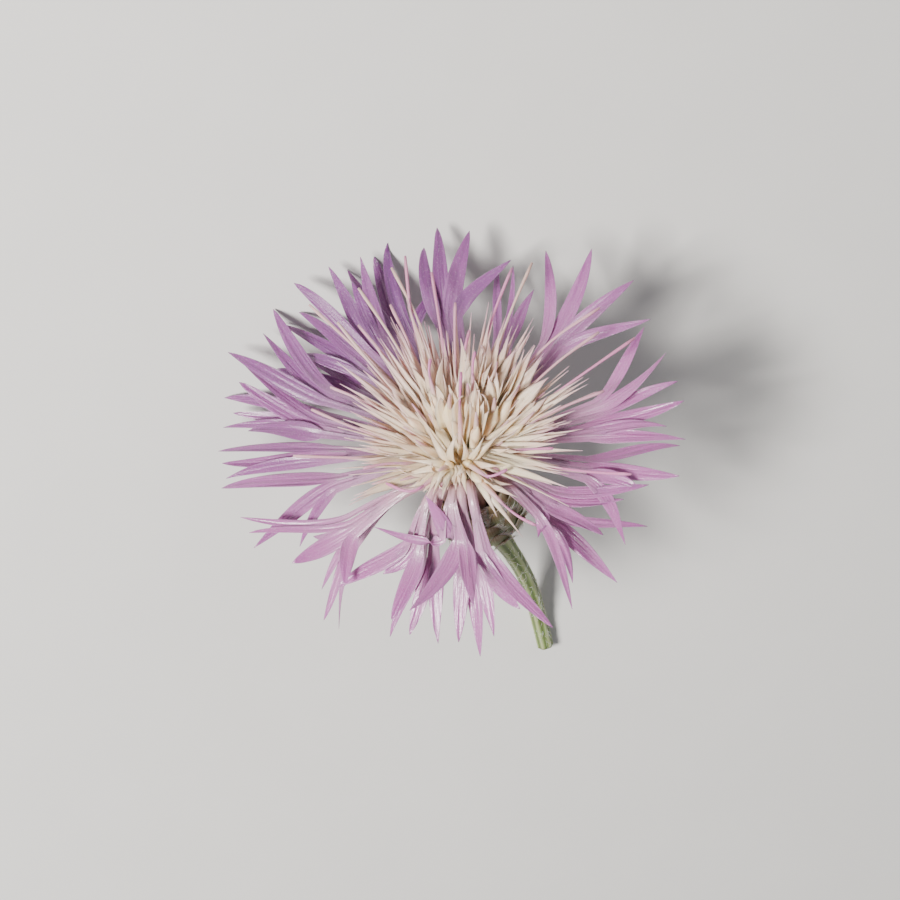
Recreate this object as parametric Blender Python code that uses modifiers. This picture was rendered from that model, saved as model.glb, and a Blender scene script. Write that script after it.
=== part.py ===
# A picked knapweed flower, lying on a table on three ray lobes and its cut stem.
# Every shape is worked out in the head's own frame, in millimetres: u to the right of the
# face, v towards the table side, w along the axis, out of the face. The head empty tilts
# that frame into the world, in metres with +Z up.
import bpy
import bmesh
import numpy as np
from mathutils import Matrix, Vector

MM = 0.001
GAP = 0.3                       # clearance between neighbouring pieces
SEAM = 0.01                     # a turned solid's seam closes within this

# How the flower lies
AXIS_LIFT = np.radians(32.0)    # the head's axis, up from the table
MOUTH = (-0.24, -7.11, 23.8)    # centre of the involucre's mouth, from the origin
TABLE_BEND = 0.4                # softness of the bend where a lobe meets the table
TABLE_UP = np.array([0.0, -np.cos(AXIS_LIFT), np.sin(AXIS_LIFT)])

# Stem
STEM_LENGTH = 35.5
STEM_NECK_RADIUS = 1.95
STEM_RADIUS = 1.15
STEM_FLARE = 0.16               # share of the length that thickens under the head
STEM_BOW = 1.6
STEM_RIBS = 6
STEM_RIB_DEPTH = 0.09           # share of the radius
STEM_SIDES = 24
STEM_RINGS = 12
STEM_REST = 1.0                 # height of the middle of the stretch that lies on the table
STEM_BEND = 1.6                 # softness of its bend on to the table

# Involucre: radius and place along the axis down its outer side
INVOLUCRE_SIDE = [(5.5, -1.6), (5.75, -4.5), (5.95, -7.5), (5.7, -9.8),
                  (4.9, -12.2), (3.5, -14.2), (2.1, -15.0)]
CUP_RADIUS = 4.8
CUP_FLOOR = -3.3
INVOLUCRE_STEPS = 22
BRACT_ROWS = [(-13.9, 9, 3.9, 2.3), (-11.9, 10, 4.8, 3.0),
              (-9.3, 11, 5.2, 3.2), (-6.7, 11, 4.9, 3.2)]    # foot, count, length, width
BRACT_ROW_TURN = 0.57           # each row is turned on by this share of its spacing
BRACT_STAND = 0.62              # how far a bract's crown stands off the side
BRACT_STANDS = [0.35, 0.85, 1.0]        # at foot, middle and tip, as a share of that
BRACT_TIP_STEP = 0.25           # tips stand off by this more, in turn, up to twice
BRACT_WIDTHS = [0.75, 1.0]
BRACT_SINK = 0.55
BRACT_CROWN = 0.3               # how far the crown stands off the bract's own edges
RIM_BRACTS = 14
RIM_BRACT_SIZE = (5.3, 1.9)     # length and width
RIM_BRACT_FOOT = -5.6
RIM_BRACT_STAND = -0.5          # their tips stand up straight

# Ray florets: turn about the axis, lift above the face, reach to the first lobe, lift of the
# tips, then each lobe's turn from the floret's own and its reach, all from the mouth's centre
RAY_FLORETS = [
    (25, 20, 21.0, 18, [(18, 33.5), (7, 36.0), (-7, 35.5), (-18, 33.5)]),
    (49, 14, 20.0, 12, [(8, 31.0), (4, 31.5), (-4, 28.5)]),
    (70, 24, 22.0, 20, [(5, 33.5), (1, 36.0), (-7, 35.0), (-19, 31.0)]),
    (88, 18, 22.0, 15, [(7, 36.0), (0, 36.0), (-4, 37.5), (-12, 28.0)]),
    (100, 24, 22.0, 22, [(8, 37.0), (-1, 36.0), (-4, 32.5), (-9, 35.0)]),
    (108, 14, 22.0, 12, [(11, 31.0), (7, 36.0), (2, 35.5), (-2, 34.0)]),
    (113, 7, 21.0, 6, [(10, 33.5), (4, 32.0), (-5, 30.0)]),
    (126, 16, 22.5, 14, [(2, 39.0), (-6, 36.5), (-12, 38.0)]),
    (131, 4, 23.0, 2, [(9, 37.5), (5, 37.0), (2, 39.5)]),
    (138, 14, 21.0, 13, [(7, 31.5), (-5, 35.5), (-10, 37.0)]),
    (145, 6, 20.0, 4, [(9, 34.5), (5, 35.5), (2, 36.5)]),
    (155, 0, 18.5, -4, [(20, 25.5), (15, 32.0), (-3, 37.0)]),
    (176, -12, 18.0, -22, [(20, 28.5), (14, 29.5), (5, 27.5), (-15, 27.0)]),
    (181, 4, 17.0, 2, [(20, 23.0), (2, 27.0), (-12, 31.5), (-17, 32.5)]),
    (214, 4, 12.5, -4, [(6, 23.0), (-8, 18.0), (-18, 23.5), (-31, 15.0)]),
    (220, -14, 12.5, -25, [(11, 23.5), (-1, 23.5), (-8, 25.0)]),
    (241, 10, 11.0, 10, [(12, 22.5), (-10, 23.5), (-51, 7.5)]),
    (247, -14, 11.5, -25, [(6, 22.5), (0, 25.0), (-8, 23.0)]),
    (260, 4, 12.5, -6, [(14, 26.0), (7, 21.5)]),
    (305, -8, 14.0, -12, [(15, 26.0), (-6, 26.0), (-16, 21.5)]),
    (309, 6, 12.5, 2, [(18, 26.0), (12, 23.0), (-3, 22.5), (-19, 15.0), (-28, 27.0)]),
    (332, 4, 17.0, 2, [(7, 30.0), (-2, 30.0), (-6, 24.5), (-26, 26.0)]),
    (349, 10, 18.0, 8, [(5, 32.0), (-1, 32.0), (-7, 29.0), (-12, 31.5)]),
    (355, 14, 20.5, 14, [(14, 32.0), (4, 32.5)]),
]
RAY_STATIONS = [0.0, 0.24, 0.42, 0.6, 0.8, 1.0]
RAY_ROOT_RADIUS = 3.9
RAY_ROOT_DEPTH = -2.6
RAY_ROOT_TURN = 5.0             # degrees to the first root, the rest follow evenly
RAY_CREST = 7.0                 # where the tube heads for as it climbs
RAY_ARCH = (7.0, 6.0)           # and for as it arches outward, radius and height
RAY_TUBE_RADIUS = 0.55
RAY_RING = (3.4, 4.5, -3.0, -1.2)     # inner and outer radius, bottom and top
PALM_LOBE_WIDTH = 0.82          # what each lobe adds to the palm's width
PALM_HALF_THICKNESS = 0.42
LOBE_HALF_WIDTH = 1.0
LOBE_SIZES = [0.82, 0.91, 1.0, 1.09, 1.18]  # the lobes take these widths in turn
LOBE_WIDTHS = [0.34, 0.85, 1.0, 0.7]        # along the lobe, as a share of the widest
LOBE_STATIONS = [0.0, 0.27, 0.54, 0.8]
LOBE_SUNK = 1.3                 # how far a lobe is rooted in the palm
LOBE_SUNK_STEP = 0.17           # each next lobe is rooted this much deeper
LOBE_ROOT_CROWDING = 0.8        # the roots stand this much closer than the lobes
LOBE_LEAVE = 0.22               # share of a lobe that still heads the way of the tube
LOBE_BOW = 1.1                  # neighbouring lobes bow up and down by this
LOBE_KEEL = 0.46
LOBE_CROWN = 0.2
LOBE_REST = 0.0                 # height of a tip that rests on the table

# The surface that parts the ray florets below from the disc florets above
DIVIDE_HEIGHT = 5.0
DIVIDE_SLOPE = 12.0             # degrees, at the sides of the head
DIVIDE_SWING = 13.0             # steeper by this towards the table, flatter away from it
DIVIDE_CLEAR = 0.85
DIVIDE_SOFTNESS = 0.4

# Disc florets
DISC_FLORETS = 36
DISC_SIDE_LOBES = 3
DISC_CORE = [(3.05, -3.0), (3.05, 3.2), (2.6, 4.7), (1.5, 5.5)]
DISC_CORE_TOP = 5.7
DISC_CORE_STEPS = 16
DISC_ROOT_RADIUS = 2.4
DISC_ROOT_HEIGHT = 3.6
DISC_TURN_DRAW = 6.0            # degrees either way
DISC_REACH = (22.0, 6.5, 2.5)   # middle reach, more towards the table, more to the right
DISC_REACH_DRAW = (0.82, 1.04)
DISC_INNER_REACH = 0.3          # share of the reach at the very centre
DISC_INNER_SHARE = 0.45         # share of the tuft's radius that is shorter
DISC_LOW_LIFT = (26.0, 7.0, 20.0)     # of the outermost: at the sides, more above, more below
DISC_CLIMB = 0.25               # share of the reach that a tube climbs straight up
DISC_STATIONS = [0.0, 0.25, 0.5, 0.78, 1.0]
DISC_TUBE_WIDTHS = [0.42, 0.46, 0.5, 0.4]
DISC_THROAT = 2                 # the station where the side lobes leave the tube
DISC_LOBE_WIDTHS = [0.35, 0.52]
DISC_LOBE_SUNK = 0.5
DISC_LOBE_SUNK_STEP = 0.2
DISC_LOBE_LENGTH_DRAW = (0.75, 0.95)
DISC_LOBE_SPREAD = 0.24         # sideways share of a lobe's length
DISC_LOBE_SPREAD_DRAW = (0.8, 1.5)
DISC_LOBE_BOW = 0.08            # sideways bow, as a share of its length
DISC_KEEL = 0.4
DISC_CROWN = 0.2
GOLDEN_TURN = 137.508
SEED = 7

ROUGHNESS = 0.55
COLORS = {
    "stem": (0.22, 0.30, 0.11),
    "involucre": (0.27, 0.26, 0.13),
    "ray_florets": (0.56, 0.35, 0.58),
    "disc_florets": (0.86, 0.78, 0.68),
}


def clear_scene():
    for item in list(bpy.data.objects):
        bpy.data.objects.remove(item, do_unlink=True)


def make_material(name):
    """The piece's own plain material."""
    material = bpy.data.materials.new(name)
    material.use_nodes = True
    shader = material.node_tree.nodes["Principled BSDF"]
    shader.inputs["Base Color"].default_value = (*COLORS[name], 1.0)
    shader.inputs["Roughness"].default_value = ROUGHNESS
    shader.inputs["Metallic"].default_value = 0.0
    return material


def polar(reach, turn, lift):
    """Point at a distance from the mouth's centre, in degrees of turn and lift."""
    turn, lift = np.radians(turn), np.radians(lift)
    return reach * np.array([np.cos(lift) * np.cos(turn), np.cos(lift) * np.sin(turn), np.sin(lift)])


def around(radius, turn, height):
    """Point at a radius from the axis and a height along it."""
    turn = np.radians(turn)
    return np.array([radius * np.cos(turn), radius * np.sin(turn), height])


def unit(vectors):
    return vectors / np.linalg.norm(vectors, axis=-1, keepdims=True)


def bezier(controls, places):
    """Points of the Bezier curve through its control points, at shares of its length."""
    share = np.asarray(places, dtype=float)[:, None]
    rows = [np.tile(point, (len(share), 1)) for point in controls]
    while len(rows) > 1:
        rows = [a + (b - a) * share for a, b in zip(rows, rows[1:])]
    return rows[0]


def soft_above(value, low, softness):
    """The value where it is well above low, and low where it is well below."""
    return low + softness * np.logaddexp(0.0, (value - low) / softness)


def lay_on_table(path, rest_height, softness=TABLE_BEND):
    """Lifts what would sink below the table, so that it lies along it."""
    height = path @ TABLE_UP + MOUTH[2]
    raised = soft_above(height, rest_height, softness)
    return path + np.outer(raised - height, TABLE_UP)


def dividing_height(path):
    """Height of the surface between the ray florets and the disc florets, over a path."""
    turn = np.arctan2(path[:, 1], path[:, 0])
    radius = np.hypot(path[:, 0], path[:, 1])
    slope = np.tan(np.radians(DIVIDE_SLOPE + DIVIDE_SWING * np.sin(turn)))
    return DIVIDE_HEIGHT + slope * np.maximum(radius - RAY_ROOT_RADIUS, 0.0)


def keep_below_divide(path):
    high = dividing_height(path) - DIVIDE_CLEAR
    path[:, 2] = -soft_above(-path[:, 2], -high, DIVIDE_SOFTNESS)
    return path


def keep_above_divide(path):
    low = dividing_height(path) + DIVIDE_CLEAR
    outside = np.hypot(path[:, 0], path[:, 1]) > DISC_CORE[0][0]
    path[outside, 2] = soft_above(path[:, 2], low, DIVIDE_SOFTNESS)[outside]
    return path


def directions(path, across):
    """Unit vectors along a path, across it and out of its face."""
    along = unit(np.gradient(path, axis=0))
    side = unit(across - (along @ across)[:, None] * along)
    return along, side, np.cross(along, side)


def loft(name, rings, tip=None):
    """Closed solid through rings of equal point counts, with a flat cap or a pointed tip."""
    count, sides = rings.shape[:2]
    vertices = [tuple(point) for point in rings.reshape(-1, 3)]
    faces = [tuple(reversed(range(sides)))]
    for ring in range(count - 1):
        for side in range(sides):
            after = (side + 1) % sides
            a, b = ring * sides + side, ring * sides + after
            faces.append((a, b, b + sides))
            faces.append((a, b + sides, a + sides))
    last = (count - 1) * sides
    if tip is None:
        faces.append(tuple(last + side for side in range(sides)))
    else:
        vertices.append(tuple(tip))
        faces += [(last + side, last + (side + 1) % sides, len(vertices) - 1) for side in range(sides)]
    mesh = bpy.data.meshes.new(name)
    mesh.from_pydata([Vector(vertex) * MM for vertex in vertices], [], faces)
    return bpy.data.objects.new(name, mesh)


def tube(name, path, across, half_widths, half_depths):
    """Loft of four-cornered sections along a path."""
    along, side, face = directions(path, across)
    wide = side * np.asarray(half_widths)[:, None]
    deep = face * np.asarray(half_depths)[:, None]
    rings = np.stack([path + wide, path + deep, path - wide, path - deep], axis=1)
    return loft(name, rings)


def blade(name, path, across, half_widths, keel, crown):
    """Loft of three-cornered sections along a path, ending in a point."""
    along, side, face = directions(path, across)
    widths = np.asarray(half_widths)[:, None]
    swell = widths / widths.max()
    wide = side[:-1] * widths
    top = face[:-1] * crown * swell
    rings = np.stack([path[:-1] + wide + top, path[:-1] - wide + top,
                      path[:-1] - face[:-1] * keel * np.sqrt(swell)], axis=1)
    return loft(name, rings, path[-1])


def turned(name, profile, steps):
    """Solid turned about the axis from a profile in radius and height."""
    mesh = bpy.data.meshes.new(name)
    points = [Vector((radius * MM, 0.0, height * MM)) for radius, height in profile]
    mesh.from_pydata(points, [(i, i + 1) for i in range(len(points) - 1)], [])
    item = bpy.data.objects.new(name, mesh)
    bpy.context.scene.collection.objects.link(item)
    screw = item.modifiers.new("Turn", "SCREW")
    screw.steps = steps
    screw.render_steps = steps
    screw.use_merge_vertices = True
    screw.merge_threshold = SEAM * MM
    solid = bake(item)
    shape = bmesh.new()
    shape.from_mesh(solid.data)
    bmesh.ops.remove_doubles(shape, verts=shape.verts, dist=SEAM * MM)
    bmesh.ops.recalc_face_normals(shape, faces=shape.faces)
    shape.to_mesh(solid.data)
    shape.free()
    return solid


def bake(item):
    """The object again, with its modifiers worked into its mesh."""
    bpy.context.view_layer.update()
    evaluated = item.evaluated_get(bpy.context.evaluated_depsgraph_get())
    mesh = bpy.data.meshes.new_from_object(evaluated)
    name = item.name
    bpy.data.objects.remove(item, do_unlink=True)
    return bpy.data.objects.new(name, mesh)


def fuse(name, body, repeats):
    """One solid from a body and the repeats that are rooted in it."""
    group = bpy.data.collections.new(name + "_repeats")
    bpy.context.scene.collection.children.link(group)
    for repeat in repeats:
        group.objects.link(repeat)
    bpy.context.scene.collection.objects.link(body)
    union = body.modifiers.new("Fuse", "BOOLEAN")
    union.operation = "UNION"
    union.operand_type = "COLLECTION"
    union.collection = group
    union.solver = "MANIFOLD"
    fused = bake(body)
    fused.name = name
    for repeat in repeats:
        bpy.data.objects.remove(repeat, do_unlink=True)
    bpy.data.collections.remove(group)
    return fused


def drop_scraps(shape):
    """Keeps the largest body, without loose scraps and with its sealed hollows filled."""
    waiting = set(shape.verts)
    bodies = []
    while waiting:
        body = {waiting.pop()}
        edge_of_body = list(body)
        while edge_of_body:
            corner = edge_of_body.pop()
            near = {link.other_vert(corner) for link in corner.link_edges} & waiting
            waiting -= near
            body |= near
            edge_of_body += near
        bodies.append(body)
    bodies.sort(key=len)
    for scrap in bodies[:-1]:
        bmesh.ops.delete(shape, geom=list(scrap), context="VERTS")


def clean_solid(item):
    """One body of triangles that point out of the solid."""
    shape = bmesh.new()
    shape.from_mesh(item.data)
    drop_scraps(shape)
    bmesh.ops.triangulate(shape, faces=shape.faces)
    bmesh.ops.recalc_face_normals(shape, faces=shape.faces)
    shape.to_mesh(item.data)
    shape.free()


def make_stem():
    """Ribbed stalk that thickens under the head, bows a little and ends flat on the table."""
    share = np.linspace(0.0, 1.0, STEM_RINGS)
    top = INVOLUCRE_SIDE[-1][1] - GAP
    bow = STEM_BOW * np.sin(np.pi * share)
    path = np.stack([bow, np.zeros_like(share), top - STEM_LENGTH * share], axis=1)
    path = lay_on_table(path, STEM_REST, STEM_BEND)
    along, side, face = directions(path, np.array([1.0, 0.0, 0.0]))
    radius = STEM_RADIUS + (STEM_NECK_RADIUS - STEM_RADIUS) * np.exp(-((share / STEM_FLARE) ** 2))
    turn = np.linspace(0.0, 2.0 * np.pi, STEM_SIDES, endpoint=False)
    rib = 1.0 - STEM_RIB_DEPTH * (0.5 - 0.5 * np.cos(STEM_RIBS * turn))
    reach = radius[:, None, None] * rib[None, :, None]
    rings = (path[:, None, :] + reach * np.cos(turn)[None, :, None] * side[:, None, :]
             + reach * np.sin(turn)[None, :, None] * face[:, None, :])
    return loft("stem", rings)


def involucre_side(height):
    """Radius of the involucre's outer side at a place along the axis."""
    radii, heights = zip(*reversed(INVOLUCRE_SIDE))
    return np.interp(height, heights, radii)


def make_bract(foot, turn, length, width, lean):
    """Pointed scale that follows the side upward, with its tip standing off it."""
    height = foot + length * np.array([0.0, 0.5, 1.0])
    middle = np.stack([around(involucre_side(z), turn, z) for z in height])
    out = around(1.0, turn, 0.0)
    across = around(1.0, turn + 90.0, 0.0)
    stand = BRACT_STAND * (np.array(BRACT_STANDS) + [0.0, 0.0, lean])[:, None]
    tip = middle[2] + out * stand[2]
    middle, stand = middle[:2], stand[:2]
    half = across * 0.5 * width * np.array(BRACT_WIDTHS)[:, None]
    edge = middle + out * (stand - BRACT_CROWN)
    rings = np.stack([middle - out * BRACT_SINK, edge - half, middle + out * stand, edge + half], axis=1)
    return loft("bract", rings, tip)


def make_involucre():
    """Solid ovoid with a cup for the florets, covered by overlapping pointed scales."""
    profile = [(CUP_RADIUS, INVOLUCRE_SIDE[0][1])] + INVOLUCRE_SIDE + [(0.0, INVOLUCRE_SIDE[-1][1])]
    profile = [(0.0, CUP_FLOOR), (CUP_RADIUS, CUP_FLOOR)] + profile
    body = turned("involucre", profile, INVOLUCRE_STEPS)
    scales = []
    for row, (foot, count, length, width) in enumerate(BRACT_ROWS):
        for place in range(count):
            turn = 360.0 * (place + BRACT_ROW_TURN * row) / count
            scales.append(make_bract(foot, turn, length, width, BRACT_TIP_STEP * (place % 3)))
    for place in range(RIM_BRACTS):
        turn = 360.0 * place / RIM_BRACTS
        scales.append(make_bract(RIM_BRACT_FOOT, turn, *RIM_BRACT_SIZE, RIM_BRACT_STAND))
    return fuse("involucre", body, scales)


def make_ray_floret(number, floret):
    """Slender tube that arches over the rim and widens into a palm with pointed lobes."""
    turn, lift, split, tip_lift, lobes = floret
    root_turn = RAY_ROOT_TURN + 360.0 * number / len(RAY_FLORETS)
    root_turn += 360.0 * round((turn - root_turn) / 360.0)
    palm = polar(split, turn, lift)
    arch_radius, arch_height = RAY_ARCH
    controls = [around(RAY_ROOT_RADIUS, root_turn, RAY_ROOT_DEPTH),
                around(RAY_ROOT_RADIUS, root_turn, RAY_CREST),
                around(arch_radius, 0.5 * (root_turn + turn), arch_height),
                palm]
    path = keep_below_divide(bezier(controls, RAY_STATIONS))
    path = lay_on_table(path, PALM_HALF_THICKNESS)
    across = around(1.0, turn + 90.0, 0.0)
    palm_half = 0.5 * (RAY_TUBE_RADIUS + PALM_LOBE_WIDTH * len(lobes))
    slim = [RAY_TUBE_RADIUS] * (len(RAY_STATIONS) - 2)
    widths = slim + [0.5 * (RAY_TUBE_RADIUS + palm_half), palm_half]
    depths = slim + [0.5 * (RAY_TUBE_RADIUS + PALM_HALF_THICKNESS), PALM_HALF_THICKNESS]
    solids = [tube("ray", path, across, widths, depths)]
    end = path[-1]
    ahead = unit(end - path[-2])
    for order, (swing, reach) in enumerate(lobes):
        aside = across * PALM_LOBE_WIDTH * (0.5 * (len(lobes) - 1) - order)
        start = end - ahead * (LOBE_SUNK + LOBE_SUNK_STEP * order) + aside * LOBE_ROOT_CROWDING
        tip = polar(reach, turn + swing, tip_lift)
        leave = end + ahead * LOBE_LEAVE * np.linalg.norm(tip - end) + aside
        leave[2] += LOBE_BOW * (-1.0) ** order
        lobe = keep_below_divide(bezier([start, leave, tip], LOBE_STATIONS + [1.0]))
        lobe = lay_on_table(lobe, LOBE_REST)
        half = LOBE_HALF_WIDTH * LOBE_SIZES[(3 * order + 2 * number) % len(LOBE_SIZES)]
        solids.append(blade("lobe", lobe, across, half * np.array(LOBE_WIDTHS), LOBE_KEEL, LOBE_CROWN))
    return solids


def make_ray_florets():
    """All the ray florets, rooted in the ring that they share."""
    inner, outer, bottom, top = RAY_RING
    profile = [(inner, top), (outer, top), (outer, bottom), (inner, bottom), (inner, top)]
    ring = turned("ray_florets", profile, len(RAY_FLORETS))
    solids = []
    for number, floret in enumerate(RAY_FLORETS):
        solids += make_ray_floret(number, floret)
    return fuse("ray_florets", ring, solids)


def disc_tip(number, draws):
    """Turn and tip of a disc floret: short and upright in the middle, long and low outside."""
    share = np.sqrt((number + 0.5) / DISC_FLORETS)
    turn = GOLDEN_TURN * number + draws.uniform(-DISC_TURN_DRAW, DISC_TURN_DRAW)
    table, right = np.sin(np.radians(turn)), np.cos(np.radians(turn))
    middle, to_table, to_right = DISC_REACH
    opening = min(share / DISC_INNER_SHARE, 1.0) ** 1.5
    reach = (middle + to_table * table + to_right * right) * draws.uniform(*DISC_REACH_DRAW)
    reach *= DISC_INNER_REACH + (1.0 - DISC_INNER_REACH) * opening
    side_lift, more_above, more_below = DISC_LOW_LIFT
    low_lift = side_lift + more_above * max(table, 0.0) + more_below * max(-table, 0.0)
    return share, turn, reach, polar(reach, turn, 90.0 - (90.0 - low_lift) * share ** 0.9)


def make_disc_floret(number, draws):
    """Thin tube that leans outward to a point, with narrow side lobes from its throat."""
    share, turn, reach, tip = disc_tip(number, draws)
    root = around(DISC_ROOT_RADIUS * share, turn, DISC_ROOT_HEIGHT)
    rise = root + np.array([0.0, 0.0, DISC_CLIMB * reach])
    path = keep_above_divide(bezier([root, rise, 0.5 * (rise + tip), tip], DISC_STATIONS))
    across = around(1.0, turn + 90.0, 0.0)
    solids = [blade("disc", path, across, DISC_TUBE_WIDTHS, DISC_KEEL, DISC_CROWN)]
    ahead, side, face = (vectors[DISC_THROAT] for vectors in directions(path, across))
    throat = path[DISC_THROAT]
    onward = path[-1] - throat
    length = np.linalg.norm(onward)
    for lobe in range(DISC_SIDE_LOBES):
        spin = 2.0 * np.pi * (lobe + draws.uniform(0.0, 0.5)) / DISC_SIDE_LOBES
        out = side * np.cos(spin) + face * np.sin(spin)
        start = throat - ahead * (DISC_LOBE_SUNK + DISC_LOBE_SUNK_STEP * lobe)
        spread = length * DISC_LOBE_SPREAD * draws.uniform(*DISC_LOBE_SPREAD_DRAW)
        point = throat + onward * draws.uniform(*DISC_LOBE_LENGTH_DRAW) + out * spread
        bend = 0.5 * (start + point) + out * length * DISC_LOBE_BOW
        lobe_path = keep_above_divide(bezier([start, bend, point], [0.0, 0.5, 1.0]))
        lobe_across = side * np.sin(spin) - face * np.cos(spin)
        solids.append(blade("disc_lobe", lobe_path, lobe_across, DISC_LOBE_WIDTHS, DISC_KEEL, DISC_CROWN))
    return solids


def make_disc_florets():
    """All the disc florets, standing out of the core that their crowded tubes make."""
    draws = np.random.default_rng(SEED)
    profile = [(0.0, DISC_CORE_TOP)] + DISC_CORE[::-1] + [(0.0, DISC_CORE[0][1])]
    core = turned("disc_florets", profile, DISC_CORE_STEPS)
    solids = []
    for number in range(DISC_FLORETS):
        solids += make_disc_floret(number, draws)
    return fuse("disc_florets", core, solids)


def main():
    clear_scene()
    flower = bpy.data.collections.new("knapweed_flower")
    bpy.context.scene.collection.children.link(flower)
    head = bpy.data.objects.new("head", None)
    flower.objects.link(head)
    tilt = Matrix(((-1.0, 0.0, 0.0),
                   (0.0, -np.sin(AXIS_LIFT), -np.cos(AXIS_LIFT)),
                   (0.0, -np.cos(AXIS_LIFT), np.sin(AXIS_LIFT))))
    head.matrix_world = Matrix.Translation(Vector(MOUTH) * MM) @ tilt.to_4x4()
    for piece in (make_stem(), make_involucre(), make_ray_florets(), make_disc_florets()):
        clean_solid(piece)
        piece.data.materials.clear()
        piece.data.materials.append(make_material(piece.name))
        piece.parent = head
        flower.objects.link(piece)
    bpy.context.view_layer.update()


main()
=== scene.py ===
# Picked knapweed flower lying on a pale table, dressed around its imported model.
# Shapes are worked out in the head's own frame in millimetres (u right of the face, v towards
# the table, w out of the face along the axis) and set down in the world in metres at the end.
from types import SimpleNamespace
import bpy
import numpy as np
from mathutils import Matrix


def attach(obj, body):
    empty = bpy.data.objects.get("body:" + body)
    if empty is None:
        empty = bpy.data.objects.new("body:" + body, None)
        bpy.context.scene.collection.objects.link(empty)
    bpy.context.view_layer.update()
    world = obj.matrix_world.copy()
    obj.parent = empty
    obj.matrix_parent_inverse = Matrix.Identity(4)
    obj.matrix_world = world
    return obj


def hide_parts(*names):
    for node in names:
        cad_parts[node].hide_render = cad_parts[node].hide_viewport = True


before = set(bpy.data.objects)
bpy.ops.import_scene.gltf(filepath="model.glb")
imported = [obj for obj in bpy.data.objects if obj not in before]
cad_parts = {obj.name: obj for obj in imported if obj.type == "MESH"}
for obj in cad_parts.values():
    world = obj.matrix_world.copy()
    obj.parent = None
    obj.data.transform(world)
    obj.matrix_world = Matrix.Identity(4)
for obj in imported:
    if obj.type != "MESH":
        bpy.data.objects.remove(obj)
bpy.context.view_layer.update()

lying = {
    "axisLift": 32.0,                  # degrees, the head's axis up from the table
    "mouth": (-0.24, -7.11, 23.8),     # centre of the involucre's mouth, mm from the origin
    "bend": 0.4,                       # mm, softness of a lobe's bend where it meets the table
}
axisLift = np.radians(lying["axisLift"])
tableUp = np.array([0.0, -np.cos(axisLift), np.sin(axisLift)])
headToWorld = np.array([[-1.0, 0.0, 0.0],
                        [0.0, -np.sin(axisLift), -np.cos(axisLift)],
                        [0.0, -np.cos(axisLift), np.sin(axisLift)]])


# A point at a distance from the mouth's centre, in degrees of turn and of lift above the face:
# reach * (cos lift * cos turn, cos lift * sin turn, sin lift).
def polar(reach, turn, lift):
    turn, lift = np.radians(turn), np.radians(lift)
    return np.stack(np.broadcast_arrays(reach * np.cos(lift) * np.cos(turn),
                                        reach * np.cos(lift) * np.sin(turn),
                                        reach * np.sin(lift)), axis=-1)


# A point at a radius and a height: (radius * cos turn, radius * sin turn, height).
def around(radius, turn, height):
    turn = np.radians(turn)
    return np.stack(np.broadcast_arrays(radius * np.cos(turn), radius * np.sin(turn), height), axis=-1)


# Vectors divided by their lengths.
def unit(vectors):
    return vectors / np.maximum(np.linalg.norm(vectors, axis=-1, keepdims=True), 1e-9)


# 3 x squared less 2 x cubed, which is level at 0 and at 1.
def smoothStep(x):
    return x * x * (3.0 - 2.0 * x)


# Directions along paths: ahead, the side less its share ahead, and the face, ahead cross side.
def frameAlong(path, side):
    ahead = unit(np.gradient(path, axis=-2))
    side = unit(side - (ahead * side).sum(-1, keepdims=True) * ahead)
    return ahead, side, np.cross(ahead, side)


# Bezier curves by repeated halves: each round moves every control point towards the next one
# by the share, until one row of points is left. Controls are (curve, control, xyz).
def bezier(controls, share):
    rows = np.repeat(np.asarray(controls, float)[:, :, None, :], len(share), axis=2)
    step = np.asarray(share, float)[None, None, :, None]
    while rows.shape[1] > 1:
        rows = rows[:, :-1] + (rows[:, 1:] - rows[:, :-1]) * step
    return rows[:, 0]


# The value where it is well above low, low where it is well below, rounded between:
# low + softness * log(1 + exp((value - low) / softness)).
def softAbove(value, low, softness):
    return low + softness * np.logaddexp(0.0, (value - low) / softness)


# Lifts what would sink below the table, so that it lies along it.
def layOnTable(path, rest, softness=lying["bend"]):
    height = path @ tableUp + lying["mouth"][2]
    return path + (softAbove(height, rest, softness) - height)[..., None] * tableUp


# Height of the surface between ray florets and disc florets: a cone that is steeper towards
# the table, and flatter and higher away from it.
def dividingHeight(path):
    turn = np.arctan2(path[..., 1], path[..., 0])
    radius = np.hypot(path[..., 0], path[..., 1])
    slope = np.tan(np.radians(divide["slope"] + divide["swing"] * np.sin(turn)))
    raised = divide["nearRise"] * np.maximum(-np.sin(turn), 0.0)
    return divide["height"] + raised + slope * np.maximum(radius - divide["from"], 0.0)


# Lowers what stands above the dividing surface less the clearance, softly.
def keepBelow(path):
    high = dividingHeight(path) - divide["clear"]
    path = path.copy()
    path[..., 2] = -softAbove(-path[..., 2], -high, divide["softness"])
    return path


# Raises what lies below the dividing surface plus the clearance, softly, outside the mouth. A
# floret with a path of its own is left alone.
def keepAbove(path, ownPath):
    low = dividingHeight(path) + divide["clear"]
    raised = softAbove(path[..., 2], low, divide["softness"])
    outside = np.hypot(path[..., 0], path[..., 1]) > divide["from"] * divide["mouthShare"]
    kept = path.copy()
    kept[..., 2] = np.where(outside & ~ownPath[:, None], raised, path[..., 2])
    return kept


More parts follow.
